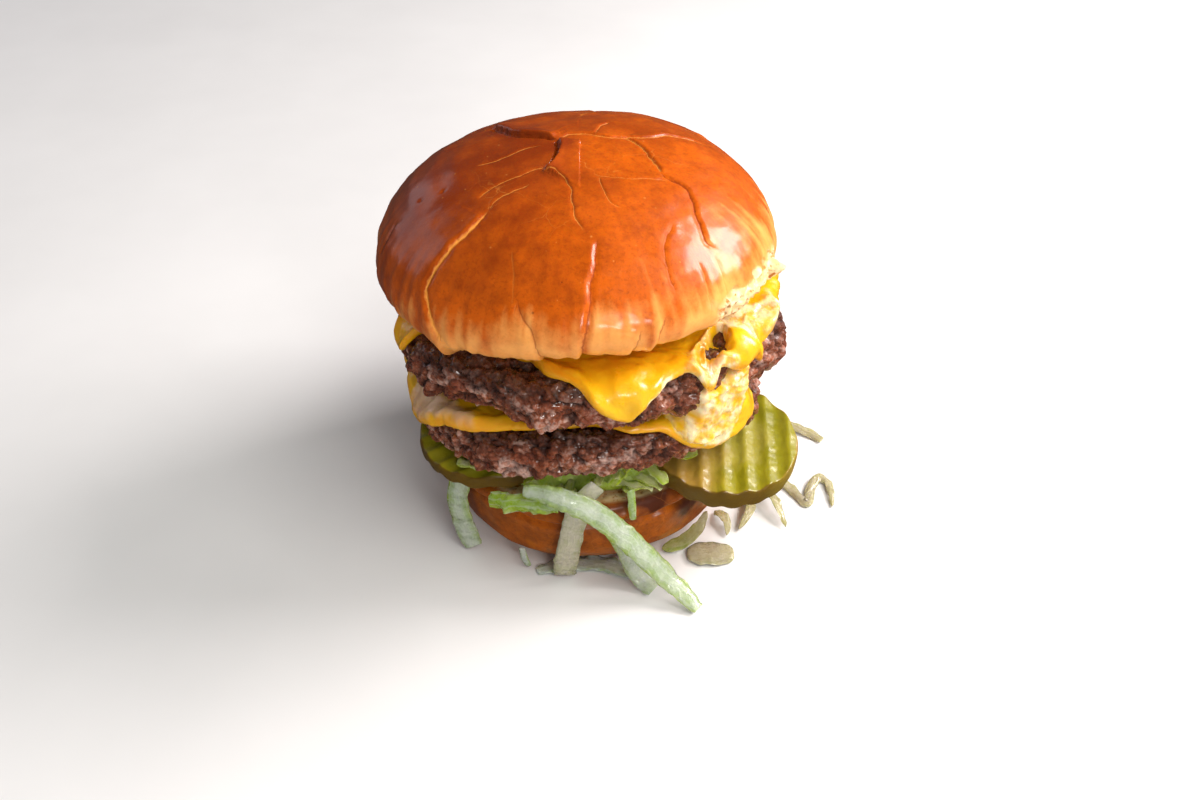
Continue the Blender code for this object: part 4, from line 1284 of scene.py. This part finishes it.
# %% Wrap the heel, fold its side and roughen its cut
HEEL_RINGS, HEEL_COLUMNS = 96, 384
heel = wrap("bun_heel", (0.0, 0.0, 14.0), disc_angles(46.0, 15.0, 50, 130))
heel_reach = np.linalg.norm(heel[..., :2], axis=2)
heel = even_rings(heel, HEEL_RINGS, np.where(heel_reach > 38.0, 1.0, 0.2))
heel = soften(more_columns(heel, HEEL_COLUMNS), 5, 22)
heel_out = outward(heel)
heel_turn = np.degrees(np.arctan2(heel[..., 1], heel[..., 0])) % 360
heel_reach = np.linalg.norm(heel[..., :2], axis=2)
on_side = rise(40.0, 43.5, heel_reach)
fold_level = 20.8 + 1.7 * np.sin(np.radians(heel_turn * 2.3)) + 0.8 * lumps(heel, 9.0, 61.0)
fold = hill(heel[..., 2] - fold_level, 1.1) * rise(0.05, 0.6, 0.4 + lumps(heel, 20.0, 62.0)) * on_side
heel_push = 0.6 * lumps(heel, 14.0, 63.0) + 0.15 * lumps(heel, 4.0, 64.0) - 1.7 * fold
heel_push += 0.9 * hill(heel[..., 2] - fold_level - 2.4, 1.5) * on_side
on_cut = rise(25.0, 25.7, heel[..., 2]) * rise(45.4, 43.6, heel_reach)
heel_push += on_cut * (0.35 * lumps(heel, 2.4, 65.0, 3) - 0.1)
heel_dense = heel + heel_out * heel_push[..., None]
heel_dense[..., 2] = np.maximum(heel_dense[..., 2], 0.0)
print("the heel's fold is pressed in by up to", (1.7 * fold).max().round(2), "mm")

# %% Bake and add the heel
heel_bake = 0.30 + 0.32 * rise(2.0, 13.0, heel[..., 2] + 2.0 * lumps(heel, 8.0, 66.0))
heel_bake += 0.10 * lumps(heel, 12.0, 67.0)
toast = rise(22.8, 25.6, heel[..., 2] + 1.0 * lumps(heel, 4.0, 68.0)) * on_side
heel_bake += 0.42 * toast * rise(-0.5, 0.4, lumps(heel, 11.0, 69.0)) - 0.10 * fold
for spot in ((30.0, -36.0, 18.0), (36.0, -28.0, 20.0), (20.0, -42.0, 24.5), (-33.0, -30.0, 24.0)):
    heel_bake += 0.6 * hill(np.linalg.norm(heel - spot, axis=2) + 1.5 * lumps(heel, 3.0, 70.0), 4.0)
add_net("heel", heel_dense, heel_crust, ["bun_heel"], {
    "bake": np.clip(heel_bake, 0, 1),
    "crack_gap": 0.0 * on_side + 9.0,
    "crack_here": 0.0 * on_side,
    "crack_deep": 0.0 * on_side,
    "crumb": 0.55 * on_cut,
    "crackle": 0.3 * on_side,
})

# %% [markdown]
# ## The lettuce's finish
#
# Shredded iceberg lettuce is thin, pale and wet. Near the rib it is almost white, and towards the leaf's
# edge it is green. Light passes through it, and water makes tiny sparkles on its blistered skin. `leaf` is
# how green a place is, and `rib` marks the white vein. `across` is how many millimetres a place lies from
# its strip's middle line, which draws the fine veins that run along the strip, and `stripe` marks the dark
# veins that cross it.

# %% Lettuce material
def make_lettuce(name, white, pale, green):
    """Wet translucent lettuce."""
    material, tree, shader = start_finish(
        name, Subsurface_Weight=0.6, Subsurface_Radius=(0.9, 1.0, 0.5), Subsurface_Scale=0.0016,
        Coat_Roughness=0.08, Coat_IOR=1.4)
    amount = plus(tree, mask(tree, "leaf"), spread(tree, patches(tree, Size=3.0, Detail=4.0), -0.18, 0.18))
    leaf = stir(tree, between(tree, amount, 0.0, 0.5), white, pale)
    leaf = stir(tree, between(tree, amount, 0.5, 1.0), leaf, green)
    drift = spread(tree, patches(tree, Size=6.0, Low=0.2, High=0.8), 0.0, 9.0)
    waves = maths(tree, "SINE", maths(tree, "MULTIPLY_ADD", mask(tree, "across"), 3.4, drift))
    veins = between(tree, waves, 0.45, 1.0)
    leaf = stir(tree, times(tree, veins, 0.34), leaf, white)
    leaf = stir(tree, mask(tree, "stripe"), leaf, colour(0.10, 0.14, 0.07))
    leaf = stir(tree, times(tree, mask(tree, "rib"), 0.7), leaf, white)
    bruise = patches(tree, Size=2.6, Low=0.62, High=0.78, Detail=3.0)
    leaf = stir(tree, times(tree, bruise, 0.32), leaf, colour(0.24, 0.20, 0.08))
    feed(tree, shader.inputs["Base Color"], leaf)
    wet = patches(tree, Size=1.4, Low=0.40, High=0.55, Detail=2.0)
    feed(tree, shader.inputs["Roughness"], spread(tree, wet, 0.42, 0.18))
    feed(tree, shader.inputs["Coat Weight"], spread(tree, wet, 0.2, 1.0))
    height = plus(tree, bumps(tree, Size=0.8), times(tree, veins, 0.30))
    emboss(tree, shader, height, 0.5, 0.0005)
    return material


iceberg = make_lettuce("iceberg", colour(0.52, 0.59, 0.48), colour(0.31, 0.42, 0.21),
                       colour(0.27, 0.42, 0.030))
shaded_iceberg = make_lettuce("shaded_iceberg", colour(0.42, 0.37, 0.24), colour(0.33, 0.29, 0.15),
                              colour(0.22, 0.25, 0.05))
pale_iceberg = make_lettuce("pale_iceberg", colour(0.54, 0.52, 0.38), colour(0.42, 0.44, 0.25),
                            colour(0.28, 0.34, 0.10))
# A lighter, yellower copy for the shreds of the bed; the extra lightness is painted light, because the bed
# lies in the shade under the lower patty.
bed_iceberg = make_lettuce("bed_iceberg", colour(0.66, 0.68, 0.40), colour(0.46, 0.56, 0.13),
                           colour(0.34, 0.50, 0.020))
print("finishes:", iceberg.name, shaded_iceberg.name, pale_iceberg.name, bed_iceberg.name)

# %% [markdown]
# ## A shred of lettuce
#
# Every shred is a ribbon along a smooth route. Its cross-section is bowed, its long edges are ruffled, and
# it is thickest along its middle. The route goes through a few points; the Catmull-Rom curve between them
# bends evenly and passes through each point, which a plain Bezier through the same points would need
# handles for.

# %% Points along a route
def along(points, share):
    """A smooth point along an open row of points, with share from 0 to 1."""
    place = min(share, 1.0) * (len(points) - 1)
    index = min(int(place), len(points) - 2)
    last = len(points) - 1
    before, start, end, after = (Vector(points[min(max(index + step, 0), last)]) for step in (-1, 0, 1, 2))
    t = place - index
    return (start + (end - before) * (0.5 * t) + (before * 2 - start * 5 + end * 4 - after) * (0.5 * t**2)
            + (start * 3 - before - end * 3 + after) * (0.5 * t**3))


print("a quarter of the way round a bend:", along(((0, 0, 0), (1, 0, 0), (1, 1, 0)), 0.25))


# %% Small tools for a ribbon
def flutter(way, across, seed):
    """A smooth random value from about -1 to 1 at a place on a strip."""
    return noise.noise(Vector((way, across, seed)))


def ribbon_faces(count, lanes):
    """The faces round a ribbon with this many steps and lanes, and those of its two ends."""
    ring = 2 * lanes
    made = []
    for i in range(count):
        for k in range(ring):
            n = (k + 1) % ring
            made.append((i * ring + k, i * ring + n, (i + 1) * ring + n, (i + 1) * ring + k))
    for start, flip in ((0, 1), (count * ring, -1)):
        for k in range(lanes - 1):
            cap = (start + k, start + k + 1, start + ring - 2 - k, start + ring - 1 - k)
            made.append(cap[::-flip])
    return made


print("a ribbon of 2 steps and 3 lanes has", len(ribbon_faces(2, 3)), "faces")


# %% Make a ribbon
def ribbon(route, widths, taper, faces, seed, bow=0.18, ruffle=0.3, thick=0.28, pace=0.5, lanes=11):
    """A closed thin ribbon: points, faces, and how far off its middle line each is, 0 to 1 and in mm."""
    length = sum((Vector(b) - Vector(a)).length for a, b in zip(route, route[1:]))
    count = max(6, int(length / pace))
    start_face, end_face = (Vector(face).normalized() for face in faces)
    across = np.linspace(-1.0, 1.0, lanes)
    points, edge, off_middle = [], [], []
    for i in range(count + 1):
        share = i / count
        middle = along(route, share)
        heading = (along(route, min(share + 0.02, 1.0)) - along(route, max(share - 0.02, 0.0))).normalized()
        side = heading.cross(start_face.lerp(end_face, share)).normalized()
        face = side.cross(heading).normalized()
        width = widths[0] + (widths[1] - widths[0]) * share
        half = 0.5 * width * (1.0 - taper * abs(2 * share - 1) ** 4)
        way = share * length
        ragged = [1.0 + 0.13 * flutter(way / 2.4, edge_side * 5.0, seed) for edge_side in (-1, 1)]
        for layer in (1, -1):
            for u in across[::layer]:
                reach = u * half * ragged[int(u > 0)]
                at_edge = abs(u) ** 2.2
                lift = bow * half * (0.4 - u * u)
                lift += ruffle * at_edge * flutter(way / 2.6, u * 0.9, seed + 3) * 2.0
                lift += 0.28 * flutter(way / 4.0, u * half / 3.0, seed + 6)
                lift += 0.10 * flutter(way / 1.5, u * half / 1.2, seed + 8)
                body = 0.5 * thick * (1.0 - 0.75 * u * u)
                points.append(middle + side * reach + face * (lift + layer * body))
                edge.append(abs(u))
                off_middle.append(reach)
    points = np.array(points)
    points[:, 2] = np.maximum(points[:, 2], 0.12)
    return points, ribbon_faces(count, lanes), np.array(edge), np.array(off_middle)


trial = ribbon(((0, 0, 9), (5, 0, 9)), (4, 4), 0.2, ((0, 0, 1), (0, 0, 1)), 1.0)
print("a strip 5 mm long has", len(trial[0]), "points")

# %% [markdown]
# ## The strips that hang out
#
# These fifteen strips are in plain sight, so each has its own route, width and shade. `green` runs from 0,
# a white rib end, to 1, a green leaf end, at the strip's two ends.

# %% The hanging and fallen strips
# route; widths at both ends; taper; the way its face looks at both ends; bow; ruffle; green at both ends;
# finish
STRIPS = {
    "strip_left": (
        ((-29.4, -29.8, 26.7), (-32.6, -32.9, 25.2), (-34.2, -34.6, 19.0), (-33.4, -35.2, 11.5),
         (-32.0, -35.4, 5.5), (-30.6, -36.0, 1.6)),
        (6.0, 6.4), 0.25, ((-0.35, -0.9, 0.1), (-0.1, -0.9, 0.4)), 0.15, 0.25, (0.5, 0.1), iceberg),
    "strip_long": (
        ((-14.8, -49.6, 35.0), (-8.4, -52.0, 35.8), (-2.4, -53.4, 34.4), (4.3, -53.8, 30.6),
         (11.0, -53.6, 23.4), (17.8, -53.6, 14.8), (24.8, -54.6, 6.4), (31.8, -59.6, 1.5)),
        (5.8, 7.0), 0.5, ((0.0, -0.9, 0.4), (0.35, -0.5, 0.8)), 0.20, 0.55, (0.35, 0.35), iceberg),
    "strip_short": (
        ((4.6, -48.4, 35.8), (1.4, -49.6, 32.4), (-0.8, -49.8, 27.4), (-2.2, -49.6, 20.0),
         (-3.5, -49.2, 12.0), (-4.4, -48.0, 5.0), (-4.6, -46.9, 1.2)),
        (5.6, 7.0), 0.2, ((0.1, -1.0, 0.1), (0.0, -0.9, 0.3)), 0.08, 0.15, (0.1, 0.2), pale_iceberg),
    "strip_second": (
        ((6.4, -49.8, 25.0), (9.0, -49.6, 20.4), (11.8, -49.0, 15.0), (14.2, -48.4, 9.0),
         (16.6, -48.8, 3.8), (20.6, -51.6, 1.3)),
        (4.2, 8.6), 0.3, ((0.2, -0.95, 0.2), (0.1, -0.3, 0.95)), 0.15, 0.4, (0.6, 0.0), iceberg),
    "strip_ruffle": (
        ((-24.4, -44.2, 27.6), (-20.4, -47.0, 28.8), (-15.6, -49.2, 30.2), (-10.6, -50.6, 30.8),
         (-5.6, -51.4, 30.6)),
        (5.6, 4.6), 0.4, ((-0.4, -0.8, 0.4), (0.0, -0.9, 0.3)), 0.2, 1.5, (1.2, 0.7), iceberg),
    "strip_thin": (
        ((13.3, -47.2, 33.2), (13.7, -47.6, 28.6), (14.0, -47.8, 23.2)),
        (2.4, 2.0), 0.2, ((0.3, -0.9, 0.1), (0.3, -0.9, 0.1)), 0.2, 0.1, (0.8, 0.7), iceberg),
    "strip_underfoot": (
        ((-12.4, -44.8, 0.7), (-7.6, -42.9, 0.8), (-1.0, -41.8, 0.8), (5.6, -41.8, 0.8), (10.8, -43.8, 0.8),
         (14.0, -46.0, 0.7)),
        (5.0, 6.4), 0.6, ((0, 0, 1), (0, 0, 1)), 0.1, 0.6, (0.0, 0.0), iceberg),
    "strip_bit": (
        ((-16.3, -43.6, 8.4), (-15.8, -43.8, 4.8), (-15.0, -43.3, 1.2)),
        (2.2, 2.4), 0.2, ((-0.4, -0.9, 0.1), (-0.3, -0.9, 0.2)), 0.2, 0.2, (0.1, 0.2), iceberg),
    "strip_fan": (
        ((35.4, -31.6, 11.0), (33.0, -33.6, 6.6), (28.6, -35.2, 2.6), (22.8, -36.6, 1.2)),
        (2.6, 4.8), 0.9, ((0.5, -0.6, 0.6), (0.0, -0.3, 1.0)), 0.12, 0.6, (0.1, 1.1), shaded_iceberg),
    "strip_fork_left": (
        ((38.8, -20.6, 0.8), (41.0, -24.4, 2.4), (42.0, -27.4, 2.2), (41.6, -30.8, 0.9)),
        (3.8, 1.6), 0.9, ((0.2, -0.3, 1), (0.0, -0.4, 1.0)), 0.1, 0.5, (0.1, 0.1), shaded_iceberg),
    "strip_fork_right": (
        ((47.0, -14.6, 0.8), (49.4, -19.4, 2.4), (48.2, -24.0, 2.8), (45.2, -28.4, 1.0)),
        (4.0, 1.6), 0.9, ((0.2, -0.3, 1), (0.1, -0.4, 1.0)), 0.1, 0.5, (0.1, 0.2), shaded_iceberg),
    "strip_rib": (
        ((29.9, -37.8, 1.0), (33.0, -38.0, 1.3), (36.0, -38.1, 1.4), (39.0, -38.1, 1.3), (43.0, -38.0, 1.0)),
        (8.8, 9.2), 0.6, ((0, 0, 1), (0, 0, 1)), 0.2, 0.3, (0.0, 0.1), shaded_iceberg),
    "strip_pointed": (
        ((50.6, -9.6, 0.9), (54.2, -13.6, 3.0), (56.3, -18.0, 3.6), (57.7, -22.8, 2.6), (58.9, -27.5, 1.0)),
        (4.4, 1.8), 0.95, ((0.5, -0.3, 0.85), (0.2, -0.3, 1.0)), 0.12, 0.5, (0.1, 0.3), shaded_iceberg),
    "strip_squiggle": (
        ((53.6, -4.6, 0.9), (57.6, -6.4, 1.4), (61.2, -9.6, 1.1), (63.9, -13.7, 1.0), (66.4, -17.2, 1.0),
         (68.1, -11.4, 1.2), (70.6, -7.0, 1.4), (73.4, -8.0, 1.2), (74.0, -13.5, 1.1), (73.6, -18.4, 0.9)),
        (3.4, 2.6), 0.8, ((0.2, -0.3, 1), (0, -0.4, 1)), 0.15, 0.6, (0.0, 0.1), shaded_iceberg),
    "strip_stub": (
        ((58.0, 20.8, 0.9), (62.4, 19.4, 1.2), (67.0, 17.4, 1.3), (71.0, 14.8, 1.1), (74.5, 11.4, 0.9)),
        (3.2, 3.4), 0.4, ((0, -0.3, 1), (0.0, -0.4, 1.0)), 0.1, 0.5, (0.0, 0.1), shaded_iceberg),
}
print("strips:", len(STRIPS))

# %% Dark veins and green edges
# dark veins that cross a strip: height in mm and strength
CROSS_VEINS = {
    "strip_left": ((19.5, 0.7), (16.6, 0.5), (11.2, 0.9), (10.0, 0.5), (7.0, 0.4), (4.4, 0.5)),
    "strip_short": ((12.5, 0.25), (9.5, 0.2), (17.0, 0.15)),
}


def greenness(points, edge, start, end, greens):
    """How green each point is, from the greens at a strip's ends, and more towards its long edges."""
    heading = np.array(end) - np.array(start)
    share = np.clip(((points - start) @ heading) / (heading @ heading), 0, 1)
    return np.clip(greens[0] + (greens[1] - greens[0]) * share + 0.58 * edge**2 - 0.12, 0, 1)


print("strips with dark veins:", list(CROSS_VEINS))

# %% Add the strips
for number, (node, strip) in enumerate(STRIPS.items()):
    route, widths, taper, looks, bow, ruffle, greens, finish = strip
    points, faces, edge, across = ribbon(route, widths, taper, looks, 70.0 + number, bow, ruffle)
    stripe = np.zeros(len(points))
    for height, strength in CROSS_VEINS.get(node, ()):
        bent = points[:, 2] + 0.5 * lumps(points, 3.0, 90.0) - height
        stripe = np.maximum(stripe, strength * hill(bent, 0.45) * rise(-0.6, 0.2, lumps(points, 1.6, 91.0)))
    add_piece(node.replace("strip", "shred"), points, faces, finish, [node], {
        "leaf": greenness(points, edge, route[0], route[-1], greens),
        "rib": hill(edge, 0.35) * (1.0 - greens[0]) * 0.6,
        "across": across,
        "stripe": stripe,
    })

# %% [markdown]
# ## The lettuce bed
#
# Between the heel and the lower patty lies a squashed heap of shreds. One solid stands for it in the plain
# model. Here it becomes what it is: a few hundred ribbons would be slow, so a low green core fills the
# hidden middle and a little over a hundred shreds lie round its rim, where they can be seen. A seeded draw
# places them, so the heap is the same on every run.

# %% Room between the heel and the lower patty
heel_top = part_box("bun_heel")[1].z / MM
patty_foot = lower_patty["net"][lower_patty["net"].shape[0] * 2 // 3:]


def ceiling(azimuth):
    """The lower patty's underside near its rim, at an azimuth in degrees."""
    column = int(azimuth / 360.0 * patty_foot.shape[1]) % patty_foot.shape[1]
    line = patty_foot[:, column]
    return line[np.linalg.norm(line[:, :2], axis=1) > 40.0][:, 2].min()


def in_chip(point):
    """Whether a point lies in either pickle chip."""
    for place, radius, thick in laid_chips:
        local = place.inverted() @ Vector(point)
        if abs(local.z) < thick / 2 + 1.0 and math.hypot(local.x, local.y) < radius + 0.9:
            return True
    return False


print("room for lettuce in mm:", {turn: round(ceiling(turn) - heel_top, 1) for turn in range(0, 360, 60)})

# %% Scatter the shreds of the bed
draw = random.Random(7)
heap_points, heap_faces, heap_leaf, heap_rib, heap_across = [], [], [], [], []
total = 0
laid = 0
for turn in np.arange(0.0, 360.0, 1.9):
    azimuth = math.radians(turn + draw.uniform(-2, 2))
    low, top = heel_top + 0.7, ceiling(math.degrees(azimuth)) - 0.6
    radial = Vector((math.cos(azimuth), math.sin(azimuth), 0.0))
    sideways = Vector((-math.sin(azimuth), math.cos(azimuth), 0.0))
    slant = draw.uniform(-1.2, 1.2)
    heading = (radial * math.cos(slant) + sideways * math.sin(slant)).normalized()
    out_to = draw.uniform(43.0, 48.2)
    long = draw.uniform(10.0, 20.0)
    level = draw.uniform(low, max(low + 0.3, top))
    route = []
    for k in range(5):
        point = radial * out_to - heading * (long * (4 - k) / 4)
        height = level + draw.uniform(-0.9, 0.9)
        if k == 4:
            height -= draw.uniform(0.0, 1.8)
        point.z = min(max(height, low), top) if math.hypot(point.x, point.y) < 46 else max(height, low - 1.0)
        route.append(tuple(point))
    if any(in_chip(point) for point in route):
        continue
    looks = [(draw.uniform(-0.7, 0.7), draw.uniform(-0.7, 0.7), 1.0) for _ in range(2)]
    width = draw.uniform(1.9, 4.2)
    points, faces, edge, across = ribbon(
        route, (width, width * draw.uniform(0.7, 1.2)), 0.4, looks, draw.uniform(0, 90),
        draw.uniform(-0.7, 0.7), 0.8, 0.3, 0.8, 8)
    greens = (draw.uniform(0.1, 0.6), draw.uniform(0.2, 1.1))
    heap_points.append(points)
    heap_faces += [tuple(index + total for index in face) for face in faces]
    heap_leaf.append(greenness(points, edge, route[0], route[-1], greens))
    heap_rib.append(hill(edge, 0.35) * 0.4)
    heap_across.append(across)
    total += len(points)
    laid += 1
print("shreds in the bed:", laid)

# %% The core of the bed, and the bed as one piece
CORE_RINGS, CORE_COLUMNS = 24, 120
core_share = np.linspace(0.0, 1.0, CORE_RINGS)
core_turn = np.linspace(0, math.tau, CORE_COLUMNS, endpoint=False)
core_reach = 41.0 * np.sin(core_share * math.pi) ** 0.6
core = np.zeros((CORE_RINGS, CORE_COLUMNS, 3))
core[..., 0] = core_reach[:, None] * np.cos(core_turn)
core[..., 1] = core_reach[:, None] * np.sin(core_turn)
core_top = np.array([ceiling(turn) for turn in np.degrees(core_turn)]) - 0.6
core_low = heel_top + 0.5
core_fill = np.clip(np.cos(core_share * math.pi) * 1.6, 0.2, 0.9)[:, None]
core_roof = core_low + (core_top - core_low)[None] * core_fill
core[..., 2] = np.where(core_share[:, None] < 0.5, core_roof, core_low)
core += outward(core) * (0.5 * lumps(core, 3.0, 81.0, 3))[..., None]
core[..., 2] = np.maximum(core[..., 2], core_low)
bed_points = np.concatenate([*heap_points, net_points(core)])
core_faces = net_faces(CORE_RINGS, CORE_COLUMNS)
bed_faces = heap_faces + [tuple(index + total for index in face) for face in core_faces]
core_count = len(bed_points) - total
add_piece("lettuce_heap", bed_points, bed_faces, bed_iceberg, ["lettuce_bed"], {
    "leaf": np.concatenate([*heap_leaf, np.full(core_count, 0.8)]),
    "rib": np.concatenate([*heap_rib, np.zeros(core_count)]),
    "across": np.concatenate([*heap_across, np.zeros(core_count)]),
    "stripe": np.zeros(len(bed_points)),
})

# %% [markdown]
# ## Where it stands, and the light
#
# A plain pale floor and soft lamps, as on a table by a window. A pale floor shows in anything wet as a grey
# haze, so it is kept out of reflections. A window to the right gives the crown its broad pinkish shine, and
# a weaker, cooler one to the left a haze along that side. A small one low in front puts sparks on the wet
# cheese, pickle and beef. The lamp overhead only adds brightness: it is kept out of the reflections,
# because another shine on top of the dome would make it look like a wet ball.

# %% Floor
bpy.ops.mesh.primitive_plane_add(size=6.0, location=(0.0, 0.0, 0.0))
floor = bpy.context.object
floor.name = "floor"
paper, tree, shader = start_finish("pale_paper", Roughness=0.75)
sheet = stir(tree, patches(tree, Size=60.0), colour(0.80, 0.80, 0.79), colour(0.83, 0.83, 0.82))
feed(tree, shader.inputs["Base Color"], sheet)
floor.data.materials.append(paper)
floor.visible_glossy = False
print("floor added")

# %% Lamps and sky
# azimuth and height in degrees; distance, width and depth in metres; power in watts; colour; whether it shows
# in reflections
LAMPS = {
    "right_window": (14, 36, 0.75, 0.42, 0.36, 8.0, (1.0, 0.93, 0.92), True),
    "left_window": (143, 19, 0.80, 0.55, 0.30, 0.42, (0.95, 0.90, 1.0), True),
    "overhead": (-45, 58, 0.85, 0.50, 0.50, 4.4, (1.0, 0.97, 0.92), False),
    "front_window": (-72, 26, 0.95, 0.26, 0.14, 2.3, (1.0, 0.97, 0.94), True),
}
for name, (azimuth, height, distance, width, depth, power, tone, shines) in LAMPS.items():
    lamp = bpy.data.lights.new(name, "AREA")
    lamp.shape, lamp.size, lamp.size_y = "RECTANGLE", width, depth
    lamp.energy, lamp.color = power, tone
    holder = bpy.data.objects.new(name, lamp)
    bpy.context.scene.collection.objects.link(holder)
    way = toward(math.radians(azimuth), math.radians(90 - height))
    holder.location = way * distance + Vector((0, 0, 0.05))
    holder.rotation_euler = way.to_track_quat("Z", "Y").to_euler()
    holder.visible_glossy = shines

world = bpy.data.worlds.new("studio")
bpy.context.scene.world = world
world.use_nodes = True
sky = world.node_tree
sky.nodes["Background"].inputs["Color"].default_value = colour(0.95, 0.97, 1.0)
in_reflections = put(sky, "LightPath").outputs["Is Glossy Ray"]
feed(sky, sky.nodes["Background"].inputs["Strength"], spread(sky, in_reflections, 0.22, 0.04))
bpy.context.scene.view_settings.view_transform = "Standard"
print("lamps:", list(LAMPS))

# %% [markdown]
# ## The camera
#
# A camera a forearm's length away, looking down at the burger as a guest would. It aims just above the top
# of the heel.

# %% Camera
aim = Vector((5.2, -1.9, 27.5)) * MM
down = math.radians(38.3)
eye = bpy.data.cameras.new("guest")
eye.lens, eye.sensor_width = 39.056, 36.0
eye.clip_start, eye.clip_end = 0.01, 20.0
camera = bpy.data.objects.new("guest", eye)
bpy.context.scene.collection.objects.link(camera)
camera.location = aim + Vector((0.0, -math.cos(down), math.sin(down))) * 0.380
camera.rotation_euler = (camera.location - aim).to_track_quat("Z", "Y").to_euler()
bpy.context.scene.camera = camera
print("camera at", [round(value, 3) for value in camera.location])

print("triangles in all:", sum(TRIANGLES.values()))
